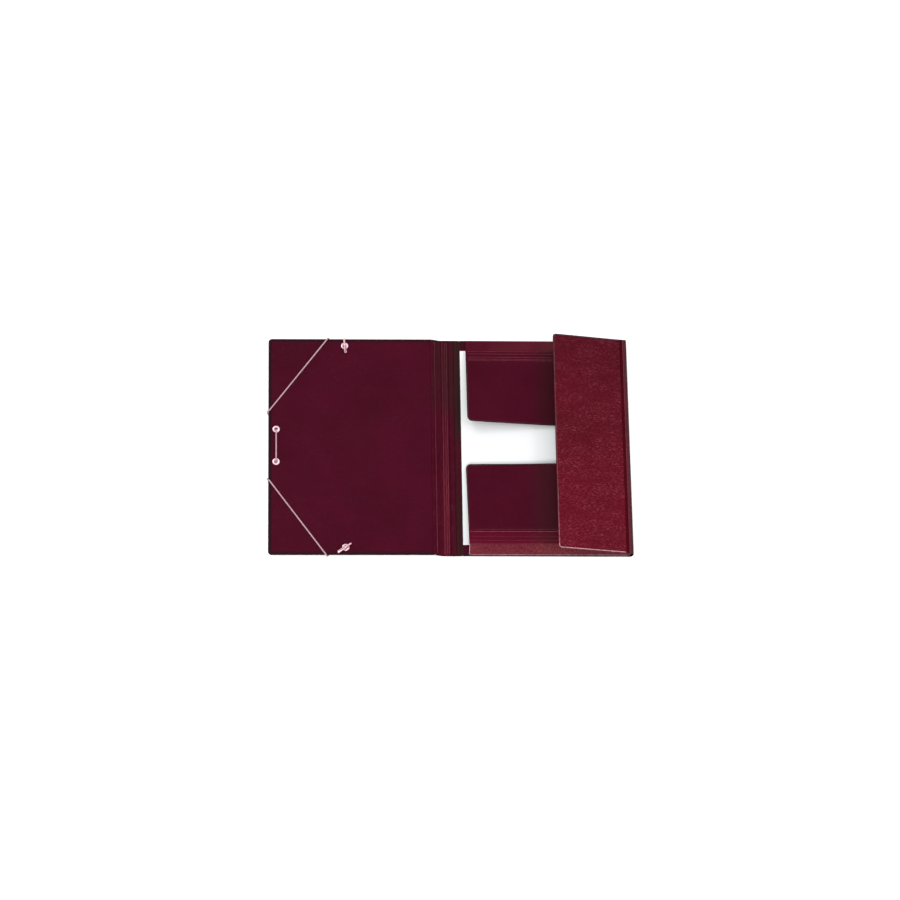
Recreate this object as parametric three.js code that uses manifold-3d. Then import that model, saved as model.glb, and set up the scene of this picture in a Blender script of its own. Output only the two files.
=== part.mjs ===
// Document folder, lying open with its inside up: two covers and a spine of film welded over board,
// three flaps folded in over the back cover, and one elastic cord in the front cover.
// Millimetres, +Z up. The back cover's underside is at z = 0 with its centre at the origin.
import * as THREE from 'three';
import { mergeVertices } from 'three/addons/utils/BufferGeometryUtils.js';
import Module from 'manifold-3d';

const wasm = await Module();
wasm.setup();

// Driving sizes of the covers and the spine
const FOLDER_HEIGHT = 330;
const BACK_WIDTH = 241;
const FRONT_WIDTH = 234;
const SPINE_WIDTH = 38.8;
const BOARD_THICKNESS = 2.4;
const RIM_THICKNESS = 1.0;
const RIM_WIDTH = 2.6;
const RIM_SLOPE = 0.6;
const CORNER_RADIUS = 5;
const HINGE_CORNER_RADIUS = 1.2;
const EDGE_SOFTENING = 0.25;
const COVER_EDGE_LIFT = 3.0;
const FRONT_HINGE_HEIGHT = 6.3;
const HINGE_GAP = 0.3;

// Driving sizes of the spine's creases, measured from the back cover's hinge
const SPINE_CREASES = [8.3, 15.8, 20.5, 26.1];
const SPINE_THICKNESS = 2.0;
const SPINE_WING_START = 27.6;
const SPINE_WING_THICKNESS = 1.4;
const SPINE_CREASE_WIDTH = 1.6;
const SPINE_CREASE_DEPTH = 0.8;

// Driving sizes of the flaps
const FILM = 0.8;
const FLAP_BOARD = 1.5;
const FLAP_RIM = 2.4;
const FLAP_CORNER_RADIUS = 7;
const CREASE_WIDTH = 1.4;
const CREASE_DEPTH = 0.55;
const FOOT_WIDTH = 2.0;
const FOOT_INSET = 0.3;
const FLAP_SIDE_INSET = 9;
const FLAP_OUTER_INSET = 5;

const TOP_GUSSET = 16.3;
const TOP_BODY = 115;
const TOP_CREASES = [5, 10.5, 13.6];
const TOP_HINGE_HEIGHT = 6.0;
const TOP_EDGE_HEIGHT_SPINE_SIDE = 23;
const TOP_EDGE_HEIGHT_MIDDLE = 7;
const TOP_EDGE_HEIGHT_OUTSIDE = 4.8;

const BOTTOM_GUSSET = 16.3;
const BOTTOM_BODY = 122.7;
const BOTTOM_CREASES = [5, 11, 17, 20.4];
const BOTTOM_HINGE_HEIGHT = 14;
const BOTTOM_HINGE_HEIGHT_OUTSIDE = 7.6;
const BOTTOM_SKEW = 2.5;
const BOTTOM_EDGE_HEIGHT_SPINE_SIDE = 6;
const BOTTOM_EDGE_HEIGHT_MIDDLE = 8.6;
const BOTTOM_EDGE_HEIGHT_OUTSIDE = 5;

const SIDE_END_INSET = 1.2;
const SIDE_FLAP_SPAN = 99.8;
const SIDE_EDGE_HEIGHT = 32.8;
const SIDE_HINGE_INSET = 8.5;
const SIDE_HINGE_HEIGHT = 11.4;
const SIDE_GUSSET_RISE = 8.6;
const SIDE_CORNER_RADIUS = 4.5;

// Driving sizes of the paper in the folder
const PAPER_WIDTH = 210;
const PAPER_HEIGHT = 297;
const PAPER_THICKNESS = 0.5;
const PAPER_OVERHANG = 2.2;

// Driving sizes of the eyelets, the cord and its two bars
const EYELET_HOLE = 2.4;
const EYELET_WALL = 0.45;
const EYELET_FLANGE = 5.3;
const EYELET_BACK_FLANGE = 4.3;
const EYELET_CROWN = 0.5;
const EYELET_SEAT = 0.3;
const BAR_EYELET_X = 125.2;
const BAR_EYELET_EDGE = 11;
const EDGE_EYELET_INSET = 11.1;
const EDGE_EYELET_SPACING = 49.6;
const CORD_RADIUS = 1.0;
const CORD_CLEARANCE = 0.3;
const CORD_BEND = 1.8;
const CORD_CROSSING_X = 149.5;
const CORD_CROSSING_Y = 51.6;
const BAR_LENGTH = 24;
const BAR_CRIMP_LENGTH = 12.4;
const BAR_CRIMP_RADIUS = 2.35;
const BAR_PIN_RADIUS = 1.25;
const BAR_FLATTENING = 0.68;
const BAR_SEAM_WIDTH = 0.5;
const BAR_SEAM_DEPTH = 0.7;
const TOP_BAR_TURN = 95.5;
const BOTTOM_BAR_TURN = 34.8;

// Places that follow from the driving sizes
const HALF_HEIGHT = FOLDER_HEIGHT / 2;
const BACK_EDGE = BACK_WIDTH / 2;
const BACK_HINGE_X = -BACK_EDGE;
const FRONT_HINGE_X = BACK_HINGE_X - SPINE_WIDTH;
const RIM_BASE = (BOARD_THICKNESS - RIM_THICKNESS) / 2;
const RIM_TOP = RIM_BASE + RIM_THICKNESS;
const FACE_RISE = BOARD_THICKNESS - RIM_TOP;
const SIDE_HINGE_X = BACK_EDGE - SIDE_HINGE_INSET;
const SIDE_EDGE_X = SIDE_HINGE_X - SIDE_FLAP_SPAN;
const SIDE_HEIGHT = FOLDER_HEIGHT - 2 * SIDE_END_INSET;
const COVER_TILT = Math.asin((FRONT_HINGE_HEIGHT - COVER_EDGE_LIFT - RIM_TOP) / FRONT_WIDTH);

// Materials
const coverFilm = { color: 0x2d0c12, roughness: 0.45, metalness: 0 };
const flapFilm = { color: 0x4d101c, roughness: 0.42, metalness: 0 };
const paperWhite = { color: 0xe9e6e2, roughness: 0.85, metalness: 0 };
const bareMetal = { color: 0xc9b7b4, roughness: 0.28, metalness: 1 };
const barMetal = { color: 0xb9a9a8, roughness: 0.3, metalness: 1 };
const cordFabric = { color: 0xa9808b, roughness: 0.8, metalness: 0 };

function piece(name, geometry, look) {
  const mesh = new THREE.Mesh(geometry, new THREE.MeshStandardMaterial(look));
  mesh.name = name;
  return mesh;
}

function signedVolume(points, faces) {
  let sum = 0;
  for (const [a, b, c] of faces) {
    sum += points[a].dot(new THREE.Vector3().crossVectors(points[b], points[c]));
  }
  return sum;
}

function solidFrom(points, faces) {
  const outward = signedVolume(points, faces) > 0;
  const geometry = new THREE.BufferGeometry();
  const values = points.flatMap((p) => [p.x, p.y, p.z]);
  geometry.setAttribute('position', new THREE.Float32BufferAttribute(values, 3));
  geometry.setIndex(faces.flatMap(([a, b, c]) => (outward ? [a, b, c] : [a, c, b])));
  geometry.computeVertexNormals();
  return geometry;
}

// A solid through closed sections of equal point count. Each end is closed by a ladder of faces
// between the first and the second half of its points, which face each other in every section here.
function loft(sections) {
  const count = sections[0].length;
  const points = sections.flat();
  const faces = [];
  for (let row = 0; row < sections.length - 1; row += 1) {
    for (let i = 0; i < count; i += 1) {
      const a = row * count + i;
      const b = row * count + ((i + 1) % count);
      faces.push([a, b, b + count], [a, b + count, a + count]);
    }
  }
  const lastStart = (sections.length - 1) * count;
  for (let i = 0; i < count / 2 - 1; i += 1) {
    const facing = count - 1 - i;
    const ladder = [[i, i + 1, facing - 1], [i, facing - 1, facing]];
    for (const [a, b, c] of ladder) {
      faces.push([c, b, a], [a + lastStart, b + lastStart, c + lastStart]);
    }
  }
  return solidFrom(points, faces);
}

function roundedOutline(x0, x1, y0, y1, radii, z) {
  const steps = 6;
  const corners = [
    [x1 - radii[0], y0 + radii[0], radii[0], -90],
    [x1 - radii[1], y1 - radii[1], radii[1], 0],
    [x0 + radii[2], y1 - radii[2], radii[2], 90],
    [x0 + radii[3], y0 + radii[3], radii[3], 180],
  ];
  return corners.flatMap(([cx, cy, r, start]) => {
    const arc = [];
    for (let i = 0; i <= steps; i += 1) {
      const angle = THREE.MathUtils.degToRad(start + (90 * i) / steps);
      arc.push(new THREE.Vector3(cx + r * Math.cos(angle), cy + r * Math.sin(angle), z));
    }
    return arc;
  });
}

// A board with film welded round it: the film alone is the thin rim on all four sides.
function weldedPanel(x0, x1, y0, y1, radii) {
  const shoulder = RIM_WIDTH + RIM_SLOPE;
  const rings = [
    [shoulder + EDGE_SOFTENING, 0],
    [shoulder, EDGE_SOFTENING],
    [RIM_WIDTH, RIM_BASE],
    [EDGE_SOFTENING, RIM_BASE],
    [0, RIM_BASE + EDGE_SOFTENING],
    [0, RIM_TOP - EDGE_SOFTENING],
    [EDGE_SOFTENING, RIM_TOP],
    [RIM_WIDTH, RIM_TOP],
    [shoulder, BOARD_THICKNESS - EDGE_SOFTENING],
    [shoulder + EDGE_SOFTENING, BOARD_THICKNESS],
  ];
  const sections = rings.map(([inset, z]) => {
    const cut = radii.map((r) => Math.max(r - inset, 0.3));
    return roundedOutline(x0 + inset, x1 - inset, y0 + inset, y1 - inset, cut, z);
  });
  return loft(sections);
}

function toManifold(geometry) {
  const bare = new THREE.BufferGeometry();
  bare.setAttribute('position', geometry.getAttribute('position').clone());
  if (geometry.index) bare.setIndex(geometry.index.clone());
  const merged = mergeVertices(bare, 1e-5);
  const mesh = new wasm.Mesh({
    numProp: 3,
    vertProperties: new Float32Array(merged.getAttribute('position').array),
    triVerts: new Uint32Array(merged.index.array),
  });
  return new wasm.Manifold(mesh);
}

function fromManifold(solid) {
  const mesh = solid.getMesh();
  const geometry = new THREE.BufferGeometry();
  geometry.setAttribute('position', new THREE.BufferAttribute(new Float32Array(mesh.vertProperties), 3));
  geometry.setIndex(new THREE.BufferAttribute(new Uint32Array(mesh.triVerts), 1));
  geometry.computeVertexNormals();
  return geometry;
}

function boreCutter(radius, x, y, z0, z1) {
  const cutter = new THREE.CylinderGeometry(radius, radius, z1 - z0, 32);
  cutter.rotateX(Math.PI / 2);
  cutter.translate(x, y, (z0 + z1) / 2);
  return toManifold(cutter);
}

// The front cover's own frame: its hinge line is the y axis and the cover reaches along -x.
const coverFace = FACE_RISE;
const coverUnderside = -RIM_TOP;
const eyeletPlaces = [
  { name: 'eyelet_top', x: -BAR_EYELET_X, y: HALF_HEIGHT - BAR_EYELET_EDGE },
  { name: 'eyelet_edge_upper', x: EDGE_EYELET_INSET - FRONT_WIDTH, y: EDGE_EYELET_SPACING / 2 },
  { name: 'eyelet_edge_lower', x: EDGE_EYELET_INSET - FRONT_WIDTH, y: -EDGE_EYELET_SPACING / 2 },
  { name: 'eyelet_bottom', x: -BAR_EYELET_X, y: BAR_EYELET_EDGE - HALF_HEIGHT },
];

function makeFrontCover() {
  const radii = [HINGE_CORNER_RADIUS, HINGE_CORNER_RADIUS, CORNER_RADIUS, CORNER_RADIUS];
  const panel = weldedPanel(-FRONT_WIDTH, -HINGE_GAP / 2, -HALF_HEIGHT, HALF_HEIGHT, radii);
  panel.translate(0, 0, coverUnderside);
  const bore = EYELET_HOLE + EYELET_WALL + EYELET_SEAT;
  let solid = toManifold(panel);
  for (const place of eyeletPlaces) {
    solid = solid.subtract(boreCutter(bore, place.x, place.y, coverUnderside - 5, coverFace + 5));
  }
  return fromManifold(solid);
}

// An eyelet: a barrel through the cover, a rolled flange on the inside and a turned-out back flange.
function makeEyelet() {
  const top = coverFace + EYELET_SEAT + EYELET_CROWN;
  const bottom = coverUnderside - EYELET_SEAT - EYELET_CROWN;
  const outer = EYELET_HOLE + EYELET_WALL;
  const lip = EYELET_CROWN;
  const profile = [
    [EYELET_HOLE, bottom + lip],
    [EYELET_HOLE + lip * 0.3, bottom + lip * 0.3],
    [EYELET_HOLE + lip, bottom],
    [EYELET_BACK_FLANGE - lip * 0.4, bottom],
    [EYELET_BACK_FLANGE, bottom + lip * 0.5],
    [EYELET_BACK_FLANGE - lip * 0.2, bottom + lip],
    [outer, bottom + lip],
    [outer, top - lip],
    [EYELET_FLANGE - lip * 0.3, top - lip],
    [EYELET_FLANGE, top - lip * 0.7],
    [EYELET_FLANGE - lip * 0.5, top - lip * 0.15],
    [EYELET_FLANGE - lip * 2.2, top],
    [EYELET_HOLE + lip, top - lip * 0.05],
    [EYELET_HOLE + lip * 0.3, top - lip * 0.35],
    [EYELET_HOLE, top - lip],
  ];
  const points = profile.map(([r, z]) => new THREE.Vector2(r, z));
  points.push(points[0].clone());
  const geometry = new THREE.LatheGeometry(points, 28);
  geometry.rotateX(Math.PI / 2);
  return fromManifold(toManifold(geometry));
}

// Heights of the cord's run on the inside and on the outside of the front cover
const flangeTop = coverFace + EYELET_SEAT + EYELET_CROWN;
const flangeBottom = coverUnderside - EYELET_SEAT - EYELET_CROWN;
const lipInside = flangeTop - EYELET_CROWN;
const lipOutside = flangeBottom + EYELET_CROWN;
const cordInside = coverFace + CORD_CLEARANCE + CORD_RADIUS;
const cordOutside = lipOutside - CORD_BEND;
const bendOffset = EYELET_HOLE + EYELET_CROWN - CORD_BEND;
const barAxisHeight = flangeTop + CORD_CLEARANCE + BAR_CRIMP_RADIUS * BAR_FLATTENING;

// The cord turning out of an eyelet: a quarter bend over the lip, starting in the hole.
function eyeletBend(eyelet, towards, inside) {
  const heading = new THREE.Vector2(towards.x - eyelet.x, towards.y - eyelet.y).normalize();
  const lip = inside ? lipInside : lipOutside;
  const sign = inside ? 1 : -1;
  const points = [];
  for (const degrees of [0, 30, 60, 90]) {
    const angle = THREE.MathUtils.degToRad(degrees);
    const out = bendOffset + CORD_BEND * (1 - Math.cos(angle));
    const z = lip + sign * CORD_BEND * Math.sin(angle);
    points.push(new THREE.Vector3(eyelet.x + heading.x * out, eyelet.y + heading.y * out, z));
  }
  return points;
}

// The cord going round the cover's edge from the outside (from) to the inside (to).
function edgeWrap(crossing, normal, from, to) {
  const back = 1.4;
  const reach = back + CORD_CLEARANCE + CORD_RADIUS + 0.2;
  const depthOf = (p) => (crossing.x - p.x) * normal.x + (crossing.y - p.y) * normal.y;
  const along = (p) => {
    const share = back / depthOf(p);
    return new THREE.Vector2(crossing.x + (p.x - crossing.x) * share, crossing.y + (p.y - crossing.y) * share);
  };
  const start = along(from);
  const end = along(to);
  const middle = (cordInside + cordOutside) / 2;
  const rise = (cordInside - cordOutside) / 2;
  const points = [];
  for (let degrees = -90; degrees <= 90; degrees += 30) {
    const angle = THREE.MathUtils.degToRad(degrees);
    const share = (degrees + 90) / 180;
    const x = THREE.MathUtils.lerp(start.x, end.x, share) + normal.x * reach * Math.cos(angle);
    const y = THREE.MathUtils.lerp(start.y, end.y, share) + normal.y * reach * Math.cos(angle);
    points.push(new THREE.Vector3(x, y, middle + rise * Math.sin(angle)));
  }
  return points;
}

function straight(from, to, count) {
  const points = [];
  for (let i = 1; i <= count; i += 1) {
    points.push(from.clone().lerp(to, i / (count + 1)));
  }
  return points;
}

function halfRoute(barEyelet, edgeEyelet, side) {
  const endEdge = new THREE.Vector2(-CORD_CROSSING_X, side * HALF_HEIGHT);
  const foreEdge = new THREE.Vector2(-FRONT_WIDTH, side * CORD_CROSSING_Y);
  const barCentre = new THREE.Vector3(barEyelet.x, barEyelet.y, barAxisHeight);
  const barBend = eyeletBend(barEyelet, endEdge, false);
  const overEnd = edgeWrap(endEdge, new THREE.Vector2(0, side), barEyelet, foreEdge);
  const overFore = edgeWrap(foreEdge, new THREE.Vector2(-1, 0), edgeEyelet, endEdge).reverse();
  const edgeBendOut = eyeletBend(edgeEyelet, foreEdge, false).reverse();
  const middle = new THREE.Vector2(edgeEyelet.x, 0);
  const edgeBendIn = eyeletBend(edgeEyelet, middle, true);
  return [
    barCentre,
    ...barBend,
    ...straight(barBend.at(-1), overEnd[0], 1),
    ...overEnd,
    ...straight(overEnd.at(-1), overFore[0], 3),
    ...overFore,
    ...edgeBendOut,
    ...edgeBendIn,
  ];
}

// The cord's centre line is sampled exactly at its route points, close together in the bends.
class CordRoute extends THREE.Curve {
  constructor(points) {
    super();
    this.points = points;
  }

  getUtoTmapping(u) {
    return u;
  }

  getPoint(t, target = new THREE.Vector3()) {
    const place = t * (this.points.length - 1);
    const index = Math.min(Math.floor(place), this.points.length - 2);
    return target.copy(this.points[index]).lerp(this.points[index + 1], place - index);
  }

  getTangent(t, target = new THREE.Vector3()) {
    const index = Math.round(t * (this.points.length - 1));
    const before = this.points[Math.max(index - 1, 0)];
    const after = this.points[Math.min(index + 1, this.points.length - 1)];
    const here = this.points[index];
    const incoming = here.clone().sub(before).normalize();
    const outgoing = after.clone().sub(here).normalize();
    return target.copy(incoming).add(outgoing).normalize();
  }
}

function makeCord() {
  const [top, upper, lower, bottom] = eyeletPlaces;
  const firstHalf = halfRoute(top, upper, 1);
  const secondHalf = halfRoute(bottom, lower, -1).reverse();
  const route = new CordRoute([...firstHalf, ...straight(firstHalf.at(-1), secondHalf[0], 1), ...secondHalf]);
  const section = new THREE.Shape();
  for (let i = 0; i < 8; i += 1) {
    const angle = (i * Math.PI) / 4;
    const x = CORD_RADIUS * Math.cos(angle);
    const y = CORD_RADIUS * Math.sin(angle);
    if (i === 0) section.moveTo(x, y);
    else section.lineTo(x, y);
  }
  section.closePath();
  const options = { extrudePath: route, steps: route.points.length - 1, bevelEnabled: false };
  return fromManifold(toManifold(new THREE.ExtrudeGeometry(section, options)));
}

// A cord bar: a crimped barrel with its seam, going over into a thin pin with a round end.
function makeBar() {
  const pinLength = BAR_LENGTH - BAR_CRIMP_LENGTH;
  const profile = [
    [0, -BAR_CRIMP_LENGTH],
    [BAR_CRIMP_RADIUS * 0.7, -BAR_CRIMP_LENGTH],
    [BAR_CRIMP_RADIUS, -BAR_CRIMP_LENGTH + 0.7],
    [BAR_CRIMP_RADIUS, -0.9],
    [BAR_CRIMP_RADIUS * 0.9, 0.6],
    [BAR_PIN_RADIUS, 2.2],
    [BAR_PIN_RADIUS, pinLength - BAR_PIN_RADIUS],
    [BAR_PIN_RADIUS * 0.87, pinLength - BAR_PIN_RADIUS * 0.5],
    [BAR_PIN_RADIUS * 0.5, pinLength - BAR_PIN_RADIUS * 0.13],
    [0, pinLength],
  ];
  const geometry = new THREE.LatheGeometry(profile.map(([r, z]) => new THREE.Vector2(r, z)), 24);
  geometry.rotateZ(-Math.PI / 2);
  geometry.scale(1, 1, BAR_FLATTENING);
  const seam = new THREE.BoxGeometry(BAR_CRIMP_LENGTH + 1, BAR_SEAM_WIDTH, BAR_SEAM_DEPTH * 2);
  seam.translate(-BAR_CRIMP_LENGTH / 2 - 1, 0, BAR_CRIMP_RADIUS * BAR_FLATTENING);
  const entry = boreCutter(CORD_RADIUS + CORD_CLEARANCE, 0, 0, -BAR_CRIMP_RADIUS, CORD_CLEARANCE);
  return fromManifold(toManifold(geometry).subtract(toManifold(seam)).subtract(entry));
}

// The spine's section from the back cover's hinge towards the front cover, as a closed line.
function spineSection(squeeze) {
  const start = HINGE_GAP / 2;
  const end = SPINE_WIDTH - HINGE_GAP / 2;
  const stations = [start, RIM_WIDTH, RIM_WIDTH + RIM_SLOPE];
  for (const crease of SPINE_CREASES) {
    stations.push(crease - SPINE_CREASE_WIDTH / 2, crease, crease + SPINE_CREASE_WIDTH / 2);
  }
  stations.push(SPINE_WING_START + 1, end - RIM_WIDTH, end);
  const wingRise = FRONT_HINGE_HEIGHT - RIM_THICKNESS / 2 - SPINE_THICKNESS / 2;
  const lowAt = RIM_BASE + RIM_THICKNESS / 2;
  const middleAt = (s) => {
    if (s <= RIM_WIDTH) return lowAt;
    if (s <= SPINE_WING_START) return SPINE_THICKNESS / 2;
    const share = (s - SPINE_WING_START) / (end - SPINE_WING_START);
    return SPINE_THICKNESS / 2 + wingRise * share ** 1.25;
  };
  const halfAt = (s) => {
    if (s <= RIM_WIDTH || s >= end - RIM_WIDTH) return RIM_THICKNESS / 2;
    if (s > SPINE_WING_START) return SPINE_WING_THICKNESS / 2;
    return SPINE_THICKNESS / 2;
  };
  const dipAt = (s) => (SPINE_CREASES.includes(s) ? SPINE_CREASE_DEPTH : 0);
  const upper = stations.map((s) => [s, middleAt(s) + halfAt(s) * squeeze - dipAt(s) * squeeze]);
  const lower = stations.map((s) => [s, middleAt(s) - halfAt(s) * squeeze]).reverse();
  return [...upper, ...lower];
}

function makeSpine() {
  const rimShare = RIM_THICKNESS / SPINE_THICKNESS;
  const rows = [
    [-HALF_HEIGHT, rimShare],
    [-HALF_HEIGHT + RIM_WIDTH, rimShare],
    [-HALF_HEIGHT + RIM_WIDTH + RIM_SLOPE, 1],
    [HALF_HEIGHT - RIM_WIDTH - RIM_SLOPE, 1],
    [HALF_HEIGHT - RIM_WIDTH, rimShare],
    [HALF_HEIGHT, rimShare],
  ];
  const sections = rows.map(([y, squeeze]) =>
    spineSection(squeeze).map(([s, z]) => new THREE.Vector3(BACK_HINGE_X - s, y, z)),
  );
  return loft(sections);
}

// Stations along a flap's width: close together at the rims and rounded corners.
function widthStations(width, radius, spacing) {
  const near = [0, radius * 0.08, radius * 0.3, FLAP_RIM, FLAP_RIM + RIM_SLOPE, radius * 0.7, radius];
  near.sort((a, b) => a - b);
  const inner = [];
  const count = Math.round((width - 2 * radius) / spacing);
  for (let i = 1; i < count; i += 1) {
    inner.push(radius + ((width - 2 * radius) * i) / count);
  }
  return [...near, ...inner, ...near.map((d) => width - d).reverse()];
}

function cornerCut(distance, radius) {
  if (distance >= radius) return 0;
  return radius - Math.sqrt(radius ** 2 - (radius - distance) ** 2);
}

// Gives a line through flat points a thickness, as one closed section.
function thicken(line) {
  const normals = line.map((point, i) => {
    const before = line[Math.max(i - 1, 0)];
    const after = line[Math.min(i + 1, line.length - 1)];
    const run = new THREE.Vector2(after.d - before.d, after.z - before.z).normalize();
    return new THREE.Vector2(-run.y, run.x);
  });
  const shifted = (side) =>
    line.map((p, i) => {
      const half = p.t / 2;
      const shift = half * side - p.dip;
      return [p.d + normals[i].x * shift, p.z + normals[i].y * shift];
    });
  return [...shifted(1), ...shifted(-1).reverse()];
}

// The body of a flap beyond its hinge: film with creases, then welded board, then the rim.
function flapStretches(length, creases, rim) {
  const stretches = [];
  for (const crease of creases) {
    stretches.push([crease - CREASE_WIDTH / 2, FILM, 0]);
    stretches.push([crease, FILM, CREASE_DEPTH]);
    stretches.push([crease + CREASE_WIDTH / 2, FILM, 0]);
  }
  const boardStart = (creases.at(-1) ?? 0) + FLAP_RIM;
  const board = rim ? FILM : FLAP_BOARD;
  stretches.push([boardStart, FILM, 0], [boardStart + RIM_SLOPE, board, 0]);
  const boardEnd = length - FLAP_RIM - RIM_SLOPE;
  for (const share of [0.25, 0.5, 0.75]) {
    stretches.push([THREE.MathUtils.lerp(boardStart + RIM_SLOPE, boardEnd, share), board, 0]);
  }
  stretches.push([boardEnd, board, 0], [length - FLAP_RIM, FILM, 0], [length, FILM, 0]);
  return stretches;
}

// A flap with its gusset, folded in over the back cover from the edge at y = side * HALF_HEIGHT.
function makeFoldedFlap(options) {
  const { side, gusset, body, creases, skew } = options;
  const x0 = BACK_HINGE_X + FLAP_SIDE_INSET;
  const x1 = BACK_EDGE - FLAP_OUTER_INSET;
  const sections = widthStations(x1 - x0, FLAP_CORNER_RADIUS, 15).map((offset) => {
    const fromEnd = Math.min(offset, x1 - x0 - offset);
    const rim = fromEnd <= FLAP_RIM;
    const x = x0 + offset;
    const length = body - cornerCut(fromEnd, FLAP_CORNER_RADIUS);
    const foot = RIM_TOP + FILM / 2;
    const riseStart = foot + 1.5;
    const line = [
      { d: FOOT_INSET, z: foot, t: FILM, dip: 0 },
      { d: FOOT_INSET + FOOT_WIDTH * 0.5, z: foot, t: FILM, dip: 0 },
      { d: FOOT_INSET + FOOT_WIDTH * 0.8, z: foot + 0.7, t: FILM, dip: 0 },
      { d: FOOT_INSET + FOOT_WIDTH, z: riseStart, t: FILM, dip: 0 },
    ];
    const hingeRise = options.hingeHeight(x) - riseStart;
    const hingeRun = Math.sqrt(gusset ** 2 - hingeRise ** 2);
    const hinge = { d: FOOT_INSET + FOOT_WIDTH + hingeRun, z: riseStart + hingeRise };
    for (const share of [0.33, 0.66, 0.93]) {
      const bow = Math.sin(share * Math.PI) * 0.5;
      line.push({
        d: THREE.MathUtils.lerp(line[3].d, hinge.d, share) - (bow * hingeRise) / gusset,
        z: THREE.MathUtils.lerp(riseStart, hinge.z, share) + (bow * hingeRun) / gusset,
        t: FILM,
        dip: 0,
      });
    }
    const bodyRise = options.edgeHeight(x) - hinge.z;
    const bodyRun = Math.sqrt(body ** 2 - bodyRise ** 2);
    line.push({ d: hinge.d, z: hinge.z, t: FILM, dip: CREASE_DEPTH });
    for (const [along, thickness, dip] of flapStretches(length, creases, rim)) {
      line.push({
        d: hinge.d + (bodyRun * along) / body,
        z: hinge.z + (bodyRise * along) / body,
        t: thickness,
        dip,
        along,
      });
    }
    const centreShare = (offset / (x1 - x0)) * 2 - 1;
    return thicken(line).map(([d, z]) => {
      const reach = THREE.MathUtils.clamp((d - hinge.d) / body, 0, 1);
      const shift = centreShare < 0 ? skew * reach * centreShare : 0;
      return new THREE.Vector3(x + shift, side * (HALF_HEIGHT - d), z);
    });
  });
  return loft(sections);
}

// Height along a flap's free edge: from the spine's side to below the side flap's edge, then outward.
function edgeHeightAt(x, spineSide, middle, outside) {
  if (x < SIDE_EDGE_X) {
    const share = (x - BACK_HINGE_X) / (SIDE_EDGE_X - BACK_HINGE_X);
    return THREE.MathUtils.lerp(spineSide, middle, share);
  }
  const share = (x - SIDE_EDGE_X) / (BACK_EDGE - SIDE_EDGE_X);
  return THREE.MathUtils.lerp(middle, outside, share);
}

function topEdgeHeight(x) {
  return edgeHeightAt(x, TOP_EDGE_HEIGHT_SPINE_SIDE, TOP_EDGE_HEIGHT_MIDDLE, TOP_EDGE_HEIGHT_OUTSIDE);
}

function bottomEdgeHeight(x) {
  return edgeHeightAt(
    x,
    BOTTOM_EDGE_HEIGHT_SPINE_SIDE,
    BOTTOM_EDGE_HEIGHT_MIDDLE,
    BOTTOM_EDGE_HEIGHT_OUTSIDE,
  );
}

function bottomHingeHeight(x) {
  const share = THREE.MathUtils.clamp((x - SIDE_EDGE_X) / (BACK_EDGE - SIDE_EDGE_X), 0, 1);
  return THREE.MathUtils.lerp(BOTTOM_HINGE_HEIGHT, BOTTOM_HINGE_HEIGHT_OUTSIDE, share ** 1.3);
}

// The side flap lies over both others; it runs from its hinge up to its free edge.
function makeSideFlap() {
  const hingeX = SIDE_HINGE_X - HINGE_GAP / 2;
  const length = Math.hypot(hingeX - SIDE_EDGE_X, SIDE_EDGE_HEIGHT - SIDE_HINGE_HEIGHT);
  const slope = new THREE.Vector2(SIDE_EDGE_X - hingeX, SIDE_EDGE_HEIGHT - SIDE_HINGE_HEIGHT).divideScalar(length);
  const sections = widthStations(SIDE_HEIGHT, SIDE_CORNER_RADIUS, 40).map((offset) => {
    const fromEnd = Math.min(offset, SIDE_HEIGHT - offset);
    const cut = length - cornerCut(fromEnd, SIDE_CORNER_RADIUS);
    const line = [{ d: hingeX, z: SIDE_HINGE_HEIGHT, t: FILM, dip: 0 }];
    for (const [along, thickness, dip] of flapStretches(cut, [], fromEnd <= FLAP_RIM)) {
      line.push({
        d: hingeX + slope.x * along,
        z: SIDE_HINGE_HEIGHT + slope.y * along,
        t: thickness,
        dip,
      });
    }
    return thicken(line).map(([x, z]) => new THREE.Vector3(x, offset - SIDE_HEIGHT / 2, z));
  });
  return loft(sections);
}

// The side gusset stands on the back cover's outer rim and bends in to the side flap's hinge.
function makeSideGusset() {
  const foot = RIM_TOP + FILM / 2 + HINGE_GAP / 2;
  const footEnd = BACK_EDGE - FOOT_INSET;
  const wallX = footEnd - FOOT_WIDTH * 0.35;
  const bend = foot + SIDE_GUSSET_RISE - 2;
  const end = SIDE_HINGE_X + HINGE_GAP / 2;
  const line = [
    [footEnd - FOOT_WIDTH, foot],
    [footEnd - FOOT_WIDTH * 0.55, foot],
    [wallX - 0.2, foot + 0.5],
    [wallX, foot + 1.3],
    [wallX + 0.2, (foot + bend) / 2],
    [wallX, bend],
    [wallX - 0.6, bend + 1.2],
    [wallX - 1.7, bend + 2.0],
    [(wallX + end) / 2, SIDE_HINGE_HEIGHT - 0.75],
    [end, SIDE_HINGE_HEIGHT],
  ].map(([d, z]) => ({ d, z, t: FILM, dip: 0 }));
  const sections = [-SIDE_HEIGHT / 2, SIDE_HEIGHT / 2].map((y) =>
    thicken(line).map(([x, z]) => new THREE.Vector3(x, y, z)),
  );
  return loft(sections);
}

function makePaper() {
  const geometry = new THREE.BoxGeometry(PAPER_WIDTH, PAPER_HEIGHT, PAPER_THICKNESS);
  const boardStart = BACK_HINGE_X + RIM_WIDTH + RIM_SLOPE;
  geometry.translate(boardStart - PAPER_OVERHANG + PAPER_WIDTH / 2, 0, BOARD_THICKNESS + PAPER_THICKNESS / 2);
  return geometry;
}

const folder = new THREE.Group();

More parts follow.
